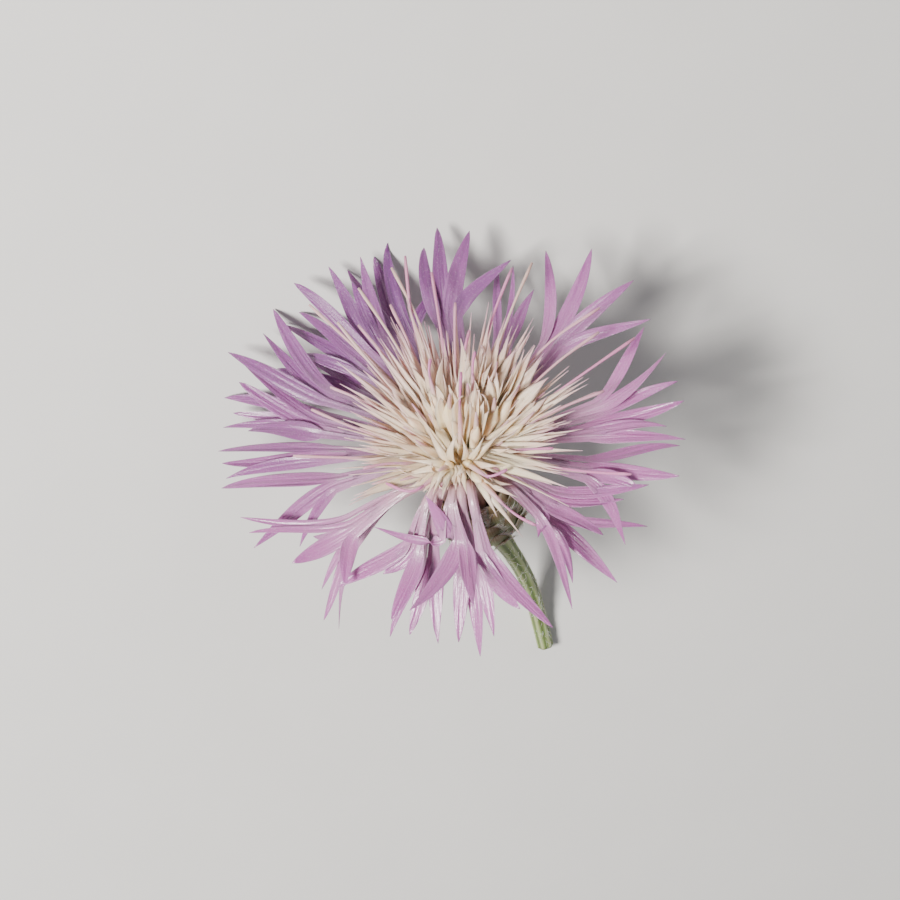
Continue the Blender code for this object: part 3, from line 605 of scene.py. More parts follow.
# Disc florets. Each row is turn about the axis, lift above the face and reach of the lobes, how
# far they stand open (0 straight on, 1 square to the floret), the share of them that the anthers
# reach, then the style's turn and reach (none at 0) and its pinkness.
disc = {
    "rows": [
        (71, 35, 22.8, 0.10, 0.6, 72, 28.5, 0.8),
        (75, 41, 19.6, 0.16, 0.8, 75, 0.0, 0.0),
        (79, 35, 23.9, 0.12, 0.5, 84, 30.6, 0.1),
        (84, 35, 24.3, 0.10, 0.5, 79, 31.6, 0.8),
        (88, 36, 22.8, 0.16, 0.6, 89, 25.8, 0.5),
        (90, 41, 20.4, 0.12, 0.7, 90, 0.0, 0.0),
        (94, 36, 22.2, 0.12, 0.5, 96, 30.0, 0.1),
        (102, 36, 22.4, 0.12, 0.5, 103, 25.6, 0.6),
        (110, 35, 23.2, 0.10, 0.5, 111, 32.2, 0.3),
        (112, 40, 20.8, 0.12, 0.5, 109, 27.8, 0.2),
        (118, 34, 24.4, 0.13, 0.5, 119, 0.0, 0.5),
        (120, 41, 19.6, 0.16, 0.8, 121, 0.0, 0.4),
        (128, 36, 20.4, 0.14, 0.7, 129, 22.5, 0.5),
        (137, 35, 18.8, 0.14, 0.7, 137, 0.0, 0.5),
        (145, 35, 17.8, 0.13, 0.7, 141, 23.5, 0.5),
        (156, 34, 18.6, 0.14, 0.7, 156, 0.0, 0.3),
        (162, 31, 18.8, 0.14, 0.7, 160, 24.5, 0.5),
        (175, 46, 14.4, 0.22, 0.8, 176, 16.8, 0.7),
        (181, 28, 19.8, 0.16, 0.6, 180, 0.0, 0.3),
        (190, 42, 12.6, 0.26, 0.9, 190, 0.0, 0.4),
        (64, 38, 20.6, 0.14, 0.7, 64, 24.0, 0.6),
        (58, 43, 18.2, 0.16, 0.8, 56, 20.4, 0.9),
        (53, 34, 22.4, 0.12, 0.6, 53, 0.0, 0.4),
        (47, 35, 22.2, 0.12, 0.5, 45, 29.4, 0.9),
        (40, 33, 22.4, 0.11, 0.5, 40, 30.8, 0.1),
        (33, 32, 23.2, 0.12, 0.7, 33, 0.0, 0.9),
        (26, 34, 20.8, 0.14, 0.7, 26, 0.0, 0.4),
        (21, 31, 21.8, 0.12, 0.5, 14, 30.2, 0.5),
        (11, 29, 21.8, 0.11, 0.5, 10, 27.6, 0.4),
        (3, 30, 20.0, 0.14, 0.8, 4, 0.0, 0.4),
        (359, 26, 23.6, 0.11, 0.6, 2, 30.8, 0.9),
        (350, 28, 20.8, 0.13, 0.6, 351, 24.0, 0.6),
        (341, 30, 17.6, 0.14, 1.0, 340, 0.0, 0.2),
        (335, 25, 19.2, 0.12, 0.5, 335, 0.0, 0.3),
        (328, 34, 14.8, 0.16, 0.9, 329, 16.4, 1.0),
        (318, 23, 18.8, 0.10, 1.0, 320, 27.4, 1.0),
        (311, 21, 19.6, 0.12, 0.6, 312, 0.0, 0.3),
        (303, 42, 12.4, 0.30, 0.8, 303, 0.0, 0.6),
        (230, 26, 9.2, 0.22, 0.8, 226, 0.0, 0.6),
        (156, 48, 13.4, 0.20, 0.7, 154, 0.0, 0.3),
        (334, 46, 14.2, 0.20, 0.6, 334, 0.0, 0.2),
        (134, 50, 14.8, 0.16, 0.7, 134, 0.0, 0.3),
        (110, 51, 16.4, 0.14, 0.7, 112, 0.0, 0.5),
        (92, 54, 16.0, 0.14, 0.6, 92, 0.0, 0.2),
        (70, 50, 17.4, 0.14, 0.6, 70, 0.0, 0.4),
        (262, 50, 10.6, 0.16, 0.6, 262, 0.0, 0.2),
        (36, 47, 17.8, 0.16, 0.6, 36, 0.0, 0.2),
        (12, 45, 17.6, 0.16, 0.7, 12, 0.0, 0.4),
        (352, 46, 15.6, 0.18, 0.7, 352, 0.0, 0.3),
        (104, 62, 14.4, 0.14, 0.7, 104, 0.0, 0.2),
        (48, 60, 15.2, 0.14, 0.7, 48, 0.0, 0.3),
        (148, 58, 13.0, 0.16, 0.7, 148, 0.0, 0.4),
        (244, 52, 10.2, 0.20, 0.6, 244, 0.0, 0.3),
    ],
    # Florets whose lobes are placed singly: a row as above, then turn, lift and reach of each
    # lobe's tip and of the ends of the anthers and the style. Girth is how many times as broad the
    # floret is. A floret with a path follows it instead, as the turn, lift and reach of its controls.
    "placed": [
        {"row": (2, 53, 24.1, 0.15, 0.7, 8, 0.0, 0.3), "girth": 1.2,
         "tips": [(23, 54, 17.5), (16, 53, 17.1), (25, 58, 17.2), (7, 53, 16.3), (16, 65, 15.7)],
         "anthers": (4, 61, 16.0), "style": (8, 59, 17.6)},
        {"row": (238, 67, 16.6, 1.0, 0.4, 230, 0.0, 0.2),
         "tips": [(112, 62, 11.3), (325, 82, 12.6), (178, 56, 11.5), (177, 34, 11.6), (227, 50, 10.4)],
         "anthers": (231, 64, 11.6), "style": (228, 62, 12.4)},
        {"row": (281, 61, 17.2, 1.0, 0.5, 303, 13.8, 1.0),
         "tips": [(317, 80, 12.2), (330, 66, 12.6), (341, 55, 12.8), (306, 47, 12.3), (254, 60, 11.0)],
         "anthers": (287, 50, 13.1), "style": (303, 46, 13.8)},
        {"row": (214, 51, 13.8, 1.0, 0.5, 185, 13.4, 1.0),
         "tips": [(177, 45, 11.3), (192, 34, 10.7), (212, 39, 9.6), (239, 49, 10.0), (209, 68, 10.8)],
         "anthers": (209, 46, 11.0), "style": (185, 39, 13.4)},
        {"row": (334, 82, 13.7, 0.2, 0.9, 47, 17.3, 1.0),
         "tips": [(58, 73, 13.6), (26, 70, 13.8), (53, 63, 15.2), (74, 62, 13.1), (36, 60, 13.9)],
         "anthers": (32, 75, 15.0), "style": (47, 64, 17.3)},
        {"row": (6, 42, 26.1, 0.15, 0.7, 1, 0.0, 0.4), "girth": 1.7,
         "tips": [(20, 39, 21.6), (14, 38, 20.9), (22, 42, 20.6), (4, 38, 19.7), (17, 48, 19.0)],
         "anthers": (7, 48, 17.5), "style": (1, 58, 16.6)},
        {"row": (30, 41, 26.5, 0.15, 0.7, 36, 0.0, 0.4), "girth": 1.4,
         "tips": [(44, 42, 19.6), (40, 40, 21.1), (35, 39, 20.8), (48, 42, 18.7), (29, 39, 19.6)],
         "anthers": (32, 47, 17.7), "style": (36, 46, 19.6)},
        {"row": (65, 72, 23.1, 0.15, 0.7, 55, 0.0, 0.4), "girth": 1.2,
         "tips": [(57, 71, 16.4), (74, 74, 15.1), (48, 66, 16.4), (78, 65, 15.4), (30, 73, 15.7)],
         "anthers": (55, 73, 15.4), "style": (55, 70, 17.1)},
        {"row": (87, 58, 23.2, 0.15, 0.7, 79, 19.0, 1.0),
         "tips": [(85, 45, 18.4), (78, 46, 18.7), (93, 45, 17.7), (70, 48, 17.5), (85, 56, 17.0)],
         "anthers": (82, 57, 16.6), "style": (78, 54, 18.0)},
        {"row": (30, 59, 25.2, 0.15, 0.7, 45, 19.0, 1.0),
         "tips": [(48, 49, 18.5), (40, 49, 18.6), (55, 49, 18.0), (47, 44, 18.7), (33, 50, 17.7)],
         "anthers": (42, 58, 17.0), "style": (44, 54, 19.0)},
        {"row": (124, 50, 21.2, 0.15, 0.7, 113, 0.0, 0.3),
         "tips": [(117, 41, 16.8), (110, 43, 17.0), (125, 39, 16.6), (104, 42, 16.4), (125, 50, 15.6)],
         "anthers": (117, 50, 16.1), "style": (113, 41, 18.1)},
        {"row": (345, 36, 23.7, 0.15, 0.7, 354, 0.0, 0.3),
         "tips": [(353, 35, 17.6), (358, 36, 17.7), (346, 33, 17.5), (5, 36, 16.8), (340, 34, 17.0)],
         "anthers": (350, 42, 16.2), "style": (354, 36, 18.8)},
        {"row": (37, 60, 24.2, 0.15, 0.7, 43, 0.0, 0.6), "girth": 1.3,
         "tips": [(58, 47, 19.7), (35, 61, 16.0), (20, 65, 16.0), (51, 51, 18.3), (34, 53, 16.6)],
         "anthers": (35, 67, 16.5), "style": (43, 57, 17.9)},
        {"row": (341, 68, 21.8, 0.15, 0.7, 6, 0.0, 0.2),
         "tips": [(28, 65, 16.7), (16, 67, 16.1), (6, 66, 15.5), (13, 73, 15.7), (354, 65, 14.8)],
         "anthers": (352, 72, 15.3), "style": (6, 70, 16.5)},
        {"row": (285, 23, 13.6, 0.35, 0.7, 290, 17.1, 1.0),
         "path": [(290, -27, 2.2), (290, 77, 9.2), (275, 51, 14.6), (285, 23, 13.6)],
         "tips": [(283, 10, 14.9), (295, 29, 13.5), (290, 40, 13.0), (277, 23, 11.9), (300, 35, 12.2)],
         "anthers": (285, 28, 13.8), "style": (290, 19, 17.1)},
    ],
    # Crowded tubes that have not opened, a golden turn apart, under and between the others.
    "packed": 110,
    "packedTurn": 137.508,
    "packedTop": (6.2, 6.8),  # mm, radius and height that they spread to
    "packedNear": 0.5,        # share that they spread less away from the table
    "packedFall": 1.6,        # mm that the outermost end lower
    "packedDraw": (-0.7, 0.5),    # mm, drawn height
    "packedRadius": 0.5,
    "packedShape": (0.7, 0.75, 0.85, 0.95, 1.0, 0.9, 0.6, 0.15),    # of that, root to tip
    "rootRadius": 2.9,
    "rootHeight": -1.0,
    "rootReach": 18.0,        # mm from the axis, tips as far out as this root at the outside
    "climb": (0.25, 2.5),     # share of the reach, and mm, that a tube climbs straight up
    "pathSteps": 46,
    # Painted shade of the far side, most on the outer florets.
    "farPaintedShade": 0.85,
    "tubeRadius": 0.38,
    "tubeRings": 14,
    "tubeOver": 3,            # steps that the tube runs on past the throat, inside the lobes
    "tubeClose": (0.05, 7.0), # mm, its radius is at most the first and so much more per share left
    "tubeFlat": 0.25,         # share that the open limb is flattened
    "limb": (0.22, 0.56),     # shares of the path where the limb widens and where its lobes part
    "closedParting": 0.46,    # and where they part on florets whose lobes aren't placed singly
    "limbRadius": 1.0,
    "limbDraw": (0.85, 1.1),
    "limbGrowth": (0.8, 0.2), # share of that radius at the axis, and so much more at the outside
    "upright": (44.0, 14.0),  # degrees of lift where florets get broader, and over how many
    "broad": 0.2,             # share that upright florets are broader
    "slim": 0.42,             # and open ones narrower
    "lobes": 5,
    "lobeRings": 9,
    "lobeWidth": 1.7,
    "widthDraw": (0.78, 1.1),
    "lobeThickness": 0.14,
    "lobeFolds": (0.2, -0.14),    # gutter along a lobe, as a share of its width, one or the other
    "foldOdds": 0.6,
    "toneDraw": (-0.15, 0.2),
    "lobeTwist": 14.0,        # degrees
    "spinDraw": (0.0, 0.35),  # share of the turn between two lobes that one is drawn on
    "facing": 50.0,           # degrees, the most that a closed lobe turns off the viewer's side
    "lobeLength": (0.72, 1.2),
    "spreadDraw": (0.75, 1.25),
    "sideDraw": 0.085,        # share of its length that a lobe strays sideways
    "sunk": (0.24, 0.85),     # a lobe starts so far back, in lengths, and out, in limb radii
    "leave": (0.14, 1.05),    # and heads so far on and out
    "openShort": 0.72,        # share of the way ahead that an open lobe gives up
    "openArch": 0.2,
    "openStray": 0.6,         # share of its sideways stray that an open lobe gives up
    "tipOut": 0.4,            # limb radii that a tip stands out at least
    "bentBack": (0.1, 0.3),   # shares of spread and stray at the last bend
    "lobeFull": (0.8, 1.25),  # share of a lobe over which it tapers, and power of the taper
    "lobeWay": (0.78, 0.22),  # way at a lobe's tip near the axis, and so much more outside
    "styleRadius": 0.19,
    "styleShape": (0.9, 0.9, 0.9, 0.92, 0.95, 1.0, 1.1, 1.2, 1.25, 0.9),
    "styleDrop": 3.0,         # degrees that a style ends below its lobes
    "antherRadius": 0.38,
    "antherTrim": 0.96,       # share of the given one that they reach
    "antherBack": 4,          # steps that they start back from the throat
    "antherClimb": 0.6,       # mm ahead of it that their path bends
    "antherOut": 0.4,         # mm that their end stands out of the middle
    "antherShape": (0.6, 0.85, 1.0, 1.0, 0.95, 0.82, 0.62, 0.25),
    "seed": 5,
    "look": {
        **petalLook,
        "colors": [(0.0, (0.89, 0.81, 0.58)), (0.3, (0.94, 0.84, 0.58)), (0.6, (0.93, 0.77, 0.53)),
                   (0.82, (0.89, 0.68, 0.55)), (1.0, (0.74, 0.45, 0.55))],
        # Painted shade: the far side's colour is multiplied by this darker, more mauve tint.
        "shadeAndPinkTint": (0.88, 0.77, 0.88),
        # Painted sheen on the crests partway up the lobes, in this pale colour.
        "paintedSheen": 0.3, "sheenAt": 0.6, "sheenColor": (0.95, 0.88, 0.80),
        "linesAcross": 7.0, "lineDepth": 0.2, "lineHeight": 0.0001,
        "lineColors": [(0.3, (0.80, 0.70, 0.66)), (0.5, (0.98, 0.95, 0.93)), (0.7, (1.0, 1.0, 1.0))],
        "foldsAcross": 1.4, "foldDepth": 0.2, "foldHeight": 0.0003,
        "foldColors": [(0.35, (0.80, 0.68, 0.62)), (0.5, (0.97, 0.94, 0.90)), (0.65, (1.0, 1.0, 1.0))],
        "uneven": 0.3, "blotDepth": 0.6,
        "blotColors": [(0.32, (1.0, 0.78, 0.84)), (0.5, (1.0, 0.96, 0.93)), (0.66, (1.0, 0.97, 0.74))],
        # The cells also paint pale specks of sparkle, by this share.
        "cells": 4800.0, "cellHeight": 0.00006, "paintedSparkle": 0.8,
        "roughness": 0.18, "specular": 0.5, "gloss": 0.25,
        "glow": 0.6, "glowDepth": 0.0006, "glowRadius": (0.8, 0.75, 0.7),
    },
    "styleLook": {
        **petalLook,
        "colors": [(0.0, (0.52, 0.40, 0.24)), (0.4, (0.72, 0.58, 0.36)), (0.7, (0.73, 0.57, 0.48)),
                   (1.0, (0.64, 0.45, 0.44))],
        # On the styles this tint is their own pink, by their pinkness, not shade.
        "shadeAndPinkTint": (0.88, 0.38, 0.94),
        # Painted sheen on the crests of the styles, in this pale colour.
        "paintedSheen": 0.2, "sheenAt": 0.8, "sheenColor": (0.95, 0.85, 0.80),
        "linesAcross": 7.0, "lineDepth": 0.4, "lineHeight": 0.00005,
        "lineColors": [(0.3, (0.8, 0.68, 0.62)), (0.6, (1.0, 1.0, 1.0))],
        "foldsAcross": 2.5, "foldDepth": 0.3, "foldHeight": 0.00005,
        "foldColors": [(0.35, (0.8, 0.66, 0.7)), (0.6, (1.0, 1.0, 1.0))],
        "uneven": 0.2, "blotDepth": 0.4,
        "blotColors": [(0.3, (0.9, 0.8, 0.8)), (0.7, (1.0, 1.0, 1.0))],
        # The cells also paint pale specks of sparkle, by this share.
        "cells": 5000.0, "cellHeight": 0.00005, "paintedSparkle": 1.0,
        "roughness": 0.36, "specular": 0.4, "gloss": 0.1,
        "glow": 0.3, "glowDepth": 0.0008,
    },
}


# Rows of all disc florets as columns, then for those placed singly the ends of their lobes,
# anthers and styles and the control points of a path of their own, not numbers for the others,
# and how many times as broad each floret is.
def discRows():
    placed = disc["placed"]
    rows = np.array(disc["rows"] + [floret["row"] for floret in placed], float)
    ownEnds = np.full((len(rows), disc["lobes"] + 2, 3), np.nan)
    ownPaths = np.full((len(rows), 4, 3), np.nan)
    girth = np.ones(len(rows))
    for place, floret in enumerate(placed, start=len(disc["rows"])):
        turn, lift, reach = np.array([*floret["tips"], floret["anthers"], floret["style"]], float).T
        ownEnds[place] = polar(reach, turn, lift)
        girth[place] = floret.get("girth", 1.0)
        if "path" in floret:
            turn, lift, reach = np.array(floret["path"], float).T
            ownPaths[place] = polar(reach, turn, lift)
    return rows.T, ownEnds, ownPaths, girth


# What the parts of the disc florets share. A floret's path is a Bezier curve from a root that is
# farther out the farther out its tip is, straight up, then over to the tip, above the dividing
# surface. Its throat is the step where the lobes part. The limb's radius is limbRadius
# * (inner + outer * outward) * broad * a draw * girth, broad being more when upright and less
# when open.
def discFlorets(draws):
    columns, ownEnds, ownPaths, girth = discRows()
    turn, lift, reach, opening, antherShare, styleTurn, styleReach, pink = columns
    count, steps = len(turn), disc["pathSteps"]
    tip = polar(reach, turn, lift)
    outward = np.clip(np.hypot(tip[:, 0], tip[:, 1]) / disc["rootReach"], 0.0, 1.0)
    root = around(disc["rootRadius"] * outward, turn, disc["rootHeight"])
    climb, climbMore = disc["climb"]
    rise = root + around(0.0, 0.0, climb * reach + climbMore)
    controls = np.stack([root, rise, 0.5 * (rise + tip), tip], axis=1)
    ownPath = np.isfinite(ownPaths[:, 0, 0])
    controls = np.where(ownPath[:, None, None], ownPaths, controls)
    paths = keepAbove(bezier(controls, np.linspace(0.0, 1.0, steps + 1)), ownPath)
    side = around(1.0, turn + 90.0, 0.0)
    frames = frameAlong(paths, side[:, None, :])
    parting = np.where(np.isfinite(ownEnds[:, 0, 0]), disc["limb"][1], disc["closedParting"])
    throat = (parting * steps).astype(int)
    every = np.arange(count)
    ahead, flat, face, there = (values[every, throat] for values in (*frames, paths))
    uprightFrom, uprightOver = disc["upright"]
    upright = np.clip((lift - uprightFrom) / uprightOver, 0.0, 1.0)
    broad = 1.0 + disc["broad"] * upright - disc["slim"] * opening
    inner, outer = disc["limbGrowth"]
    limbRadius = (disc["limbRadius"] * (inner + outer * outward) * broad
                  * draws.uniform(*disc["limbDraw"], count) * girth)
    # Painted shade: darker on the far side, as sin turn times outward squared.
    far = np.clip(np.sin(np.radians(turn)), 0.0, 1.0) * outward ** 2 * disc["farPaintedShade"]
    return SimpleNamespace(
        count=count, every=every, paths=paths, ownPath=ownPath, ownEnds=ownEnds, side=side,
        parting=parting[:, None], throat=throat, there=there, ahead=ahead, flat=flat, face=face,
        lift=lift, outward=outward, opening=opening[:, None], limbRadius=limbRadius[:, None],
        breadth=broad * girth, far=far, antherShare=antherShare, styleTurn=styleTurn,
        styleReach=styleReach, pink=pink)


# The tubes: the radius goes from the tube's to the limb's by a smooth step of the way from where
# the limb widens to where the lobes part, and closes inside the lobes.
def discTubeBatch(florets):
    share = np.linspace(0.0, 1.0, disc["tubeRings"])
    places = (share * (florets.throat[:, None] + disc["tubeOver"])).round().astype(int)
    widening, parting = disc["limb"][0], florets.parting
    grown = smoothStep(np.clip((share * parting - widening) / (parting - widening), 0.0, 1.0))
    width = disc["tubeRadius"] + (florets.limbRadius - disc["tubeRadius"]) * grown
    closed, opening = disc["tubeClose"]
    width = np.minimum(width, closed + opening * (1.0 - share))
    tubes = carry(florets.paths[florets.every[:, None], places], florets.side, width,
                  width * (1.0 - disc["tubeFlat"] * grown))
    tubes["way"] = parting * share
    # The tubes' tone is the floret's painted shade.
    tubes["tone"], tubes["seed"] = florets.far, florets.every * 1.3
    return tubes


# The lobes, at even turns about the floret, each drawn a little on. A lobe is a Bezier curve from
# inside the throat to its tip: straight on and drawn aside where the floret is closed, outwards
# by size * length where it is open, or to the place given. Half its width is even * pointed, with
# even = 0.9 + 0.1 * a half sine, and pointed a power of a quarter sine of what is left.
def discLobeBatch(florets, draws):
    count, wide, limb = florets.count, florets.opening, florets.limbRadius
    ahead, flat, face, there = florets.ahead, florets.flat, florets.face, florets.there
    onward = florets.paths[:, -1] - there
    size = np.linalg.norm(onward, axis=1)[:, None]
    (back, backOut), (leaveOn, leaveOut) = disc["sunk"], disc["leave"]
    share = np.linspace(0.0, 1.0, disc["lobeRings"])
    full, power = disc["lobeFull"]
    even = 0.9 + 0.1 * np.sin(np.pi * np.minimum(share / full, 1.0))
    pointed = np.sin(0.5 * np.pi * np.minimum((1.0 - share) / full, 1.0)) ** power
    bendSpread, bendStray = disc["bentBack"]
    lobes, sides, widths, twists, tones, folds = [], [], [], [], [], []
    for lobe in range(disc["lobes"]):
        spin = 2.0 * np.pi * (lobe + draws.uniform(*disc["spinDraw"], count)) / disc["lobes"]
        spin = spin + florets.every
        cosine, sine = np.cos(spin)[:, None], np.sin(spin)[:, None]
        front = np.where(sine < 0.0, -1.0, 1.0)
        own = florets.ownEnds[:, lobe]
        placed = np.isfinite(own[:, :1])
        toOwn = own - there
        out = np.where(placed, unit(toOwn - (toOwn * ahead).sum(-1, keepdims=True) * ahead),
                       flat * cosine + face * sine * 0.8)
        lean = np.radians(disc["facing"]) * cosine * front
        closedSide = front * (flat * np.cos(lean) - face * np.sin(lean))
        sides.append(unit(closedSide * (1.0 - wide) + np.cross(out, ahead) * wide))
        length = draws.uniform(*disc["lobeLength"], count)[:, None]
        spread = size * length * wide * draws.uniform(*disc["spreadDraw"], count)[:, None]
        stray = (draws.uniform(-1.0, 1.0, count)[:, None] * disc["sideDraw"] * size
                 * (1.0 - disc["openStray"] * wide))
        start = there - ahead * (back * size) + out * (backOut * limb)
        leave = there + ahead * (leaveOn * size) + out * (leaveOut * limb)
        end = (there + onward * length * (1.0 - disc["openShort"] * wide)
               + out * (spread + disc["tipOut"] * limb) + flat * stray)
        end = np.where(placed, own, end)
        bent = (0.5 * (leave + end) + ahead * (disc["openArch"] * size * wide)
                - out * (bendSpread * spread) + flat * (stray * bendStray))
        lobes.append(bezier(np.stack([start, leave, bent, end], axis=1), share))
        half = 0.5 * disc["lobeWidth"] * (florets.breadth * draws.uniform(*disc["widthDraw"], count))
        widths.append(half[:, None] * np.maximum(even * pointed, 0.05))
        twists.append(draws.uniform(-1.0, 1.0, count)[:, None] * disc["lobeTwist"] * share)
        # A lobe's tone is its floret's painted shade plus a drawn tone.
        tones.append(florets.far + draws.uniform(*disc["toneDraw"], count))
        folded = draws.uniform(0.0, 1.0, count) < disc["foldOdds"]
        folds.append(np.where(folded, *disc["lobeFolds"])[:, None])
    lobes, sides, widths, twists, tones, folds = (
        np.concatenate(values) for values in (lobes, sides, widths, twists, tones, folds))
    lobes = keepAbove(lobes, np.tile(florets.ownPath, disc["lobes"]))
    petals = carry(lobes, sides, widths, disc["lobeThickness"] * 0.5, gutter=folds * widths,
                   twist=twists, sides=6)
    startWay = np.tile(florets.parting[:, 0], disc["lobes"])[:, None] - 0.1
    tipWay, tipWayMore = disc["lobeWay"]
    endWay = np.tile(tipWay + tipWayMore * florets.outward, disc["lobes"])[:, None]
    petals["way"] = startWay + (endWay - startWay) * share
    petals["tone"], petals["seed"] = tones, np.arange(len(lobes)) * 0.9 + 9.0
    return petals


# The anthers: a tube up the middle from inside the throat, to a share of the path or to the place
# given. The tone is pink * way cubed, so they turn pink to the tip.
def antherBatch(florets):
    rings = len(disc["antherShape"])
    way = np.linspace(0.0, 1.0, rings)
    throat, steps = florets.throat, disc["pathSteps"]
    ends = (throat + (steps - throat) * florets.antherShare * disc["antherTrim"]).round().astype(int)
    end = np.where(np.isfinite(florets.ownEnds[:, -2]), florets.ownEnds[:, -2],
                   florets.paths[florets.every, ends] + florets.face * disc["antherOut"])
    start = florets.paths[florets.every, throat - disc["antherBack"]]
    bent = florets.there + florets.ahead * disc["antherClimb"]
    path = bezier(np.stack([start, bent, end], axis=1), way)
    width = disc["antherRadius"] * np.array(disc["antherShape"])
    anthers = carry(path, florets.side, width, width, sides=8)
    anthers["way"] = np.broadcast_to(np.linspace(0.1, 1.0, rings), (florets.count, rings))
    anthers["tone"] = florets.pink[:, None] * way ** 3
    anthers["seed"] = florets.every * 1.1
    return anthers, path


# The styles: a Bezier curve that runs on out of the anthers and over to its end.
def styleBatch(florets, antherPath):
    styled = florets.styleReach > 0.0
    rings = len(disc["styleShape"])
    start = antherPath[styled, -2]
    end = polar(florets.styleReach, florets.styleTurn, florets.lift - disc["styleDrop"])
    end = np.where(np.isfinite(florets.ownEnds[:, -1]), florets.ownEnds[:, -1], end)[styled]
    heading = unit(start - antherPath[styled, -4])
    between = np.linalg.norm(end - start, axis=1)[:, None]
    controls = np.stack([start, start + heading * 0.5 * between,
                         0.5 * (start + heading * 0.4 * between + end), end], axis=1)
    path = keepAbove(bezier(controls, np.linspace(0.0, 1.0, rings)), florets.ownPath[styled])
    width = disc["styleRadius"] * np.array(disc["styleShape"])
    styles = carry(path, florets.side[styled], width, width, sides=8)
    styles["way"] = np.full((len(path), rings), 0.7)
    styles["tone"], styles["seed"] = florets.pink[styled], np.arange(len(path)) * 0.7
    return styles


# The crowded tubes, a golden turn apart at radii that grow as the square root of their number.
# They climb to the top's height, the outermost lower, and spread out as the climb squared.
def packedBatch(draws):
    number, rings = np.arange(disc["packed"]), len(disc["packedShape"])
    share = np.sqrt((number + 0.5) / disc["packed"])[:, None]
    turn = disc["packedTurn"] * number[:, None]
    topRadius, topHeight = disc["packedTop"]
    topRadius = topRadius * (1.0 - disc["packedNear"] * np.maximum(-np.sin(np.radians(turn)), 0.0))
    climb = np.linspace(0.0, 1.0, rings)
    drawn = draws.uniform(*disc["packedDraw"], len(number))[:, None]
    high = topHeight - disc["rootHeight"] - disc["packedFall"] * share ** 2 + drawn
    path = around(share * (disc["rootRadius"] + (topRadius - disc["rootRadius"]) * climb ** 2), turn,
                  disc["rootHeight"] + high * climb)
    width = disc["packedRadius"] * np.array(disc["packedShape"])
    packed = carry(path, around(1.0, turn[:, 0] + 90.0, 0.0), width, width, sides=6)
    packed["way"] = np.broadcast_to(0.1 + 0.6 * climb, (len(number), rings))
    packed["seed"] = number * 1.9
    return packed


# Disc florets: crowded tubes, then the florets' own tubes and lobes, and anthers and styles.
def makeDiscFlorets():
    draws = np.random.default_rng(disc["seed"])
    florets = discFlorets(draws)
    lobes = discLobeBatch(florets, draws)
    anthers, antherPath = antherBatch(florets)
    makePiece("discCorollas", [packedBatch(draws), discTubeBatch(florets), lobes],
              petalMaterial("satinCreamPetal", disc["look"]), ["disc_florets"])
    makePiece("discStyles", [anthers, styleBatch(florets, antherPath)],
              petalMaterial("pinkStyle", disc["styleLook"]), ["disc_florets"])


# Involucre: an ovoid cup turned about the axis, covered by fringed scales.
involucre = {
    "side": [(5.5, -1.6), (5.75, -4.5), (5.95, -7.5), (5.7, -9.8),
             (4.9, -12.2), (3.5, -14.2), (2.1, -15.0)],      # radius and height, mm
    "cupRadius": 4.8,
    "cupFloor": -3.3,
    "rows": [(-13.9, 9, 3.9, 2.3), (-11.9, 10, 4.8, 3.0),
             (-9.3, 11, 5.2, 3.2), (-6.7, 11, 4.9, 3.2)],    # foot, count, length, width
    "rowTurn": 0.57,          # scales that a row is turned on from the one below
    "footDraw": (-0.25, 0.25),
    "turnDraw": (-0.08, 0.08),
    "lengthDraw": (0.92, 1.08),
    "stand": 0.5,             # mm that a scale stands off the side
    "leanStep": 0.1,          # mm more at the tip, from one scale to the next, by threes
    "rimScales": 14,
    "rimSize": (5.6, 2.0),
    "rimFoot": -5.6,
    "rimLean": -0.35,
    "rimTurnDraw": (-2.0, 2.0),
    "rimLengthDraw": (0.9, 1.04),
    "scaleDepth": 0.16,       # mm, half the thickness
    "scaleGutter": -0.28,     # share of the half width that the margins fall back
    "scaleRidge": 0.04,
    "fringe": 14,             # hairs each side of a scale
    "fringeFrom": 0.35,       # share of the scale where they start
    "hairFoot": 0.9,          # share of the half width where they grow
    "hairHeading": (0.8, 0.7),    # across the scale and up along it
    "hairBow": 0.25,
    "hairLength": 1.5,
    "hairDraw": (0.7, 1.2),
    "hairCurl": (-0.1, 0.35), # share of its length that a hair's end is drawn out
    "hairRadius": 0.065,
    "seed": 3,
    "colors": [(0.0, (0.22, 0.27, 0.12)), (0.45, (0.28, 0.31, 0.15)),
               (0.7, (0.30, 0.22, 0.11)), (0.95, (0.50, 0.42, 0.27))],
    "lineColors": [(0.35, (0.55, 0.5, 0.42)), (0.6, (1.0, 1.0, 1.0))],
    "colorLength": 5.2,       # mm of scale that the colours run along
    "blotShift": 0.35,        # and the share of them that blots move them by
    "lines": (5.0, 0.25, 3.0, 0.6),   # streaks to a mm across and along, detail and roughness
    "blots": (420.0, 3.0, 0.6),       # blots to a metre, detail and roughness
    "lineDepth": 0.6,
    "lineHeight": 0.00012,    # metres
    "roughness": (0.25, 0.45),    # what the blots add, and the base
    "specular": 0.35,
    "hairBlots": 900.0,
    "hairRoughness": 0.6,
    "hairGlow": (0.2, 0.0005),    # share and depth, metres
    "hairColors": [(0.3, (0.66, 0.62, 0.50)), (0.7, (0.90, 0.88, 0.80))],
}


# Radius of the involucre's side at a height: straight stretches through its profile, smoothed by
# averaging over a short stretch around it.
def involucreRadius(height):
    radii, heights = np.array(involucre["side"][::-1]).T
    shifts = np.linspace(-0.6, 0.6, 7)
    return np.mean([np.interp(height + shift, heights, radii) for shift in shifts], axis=0)


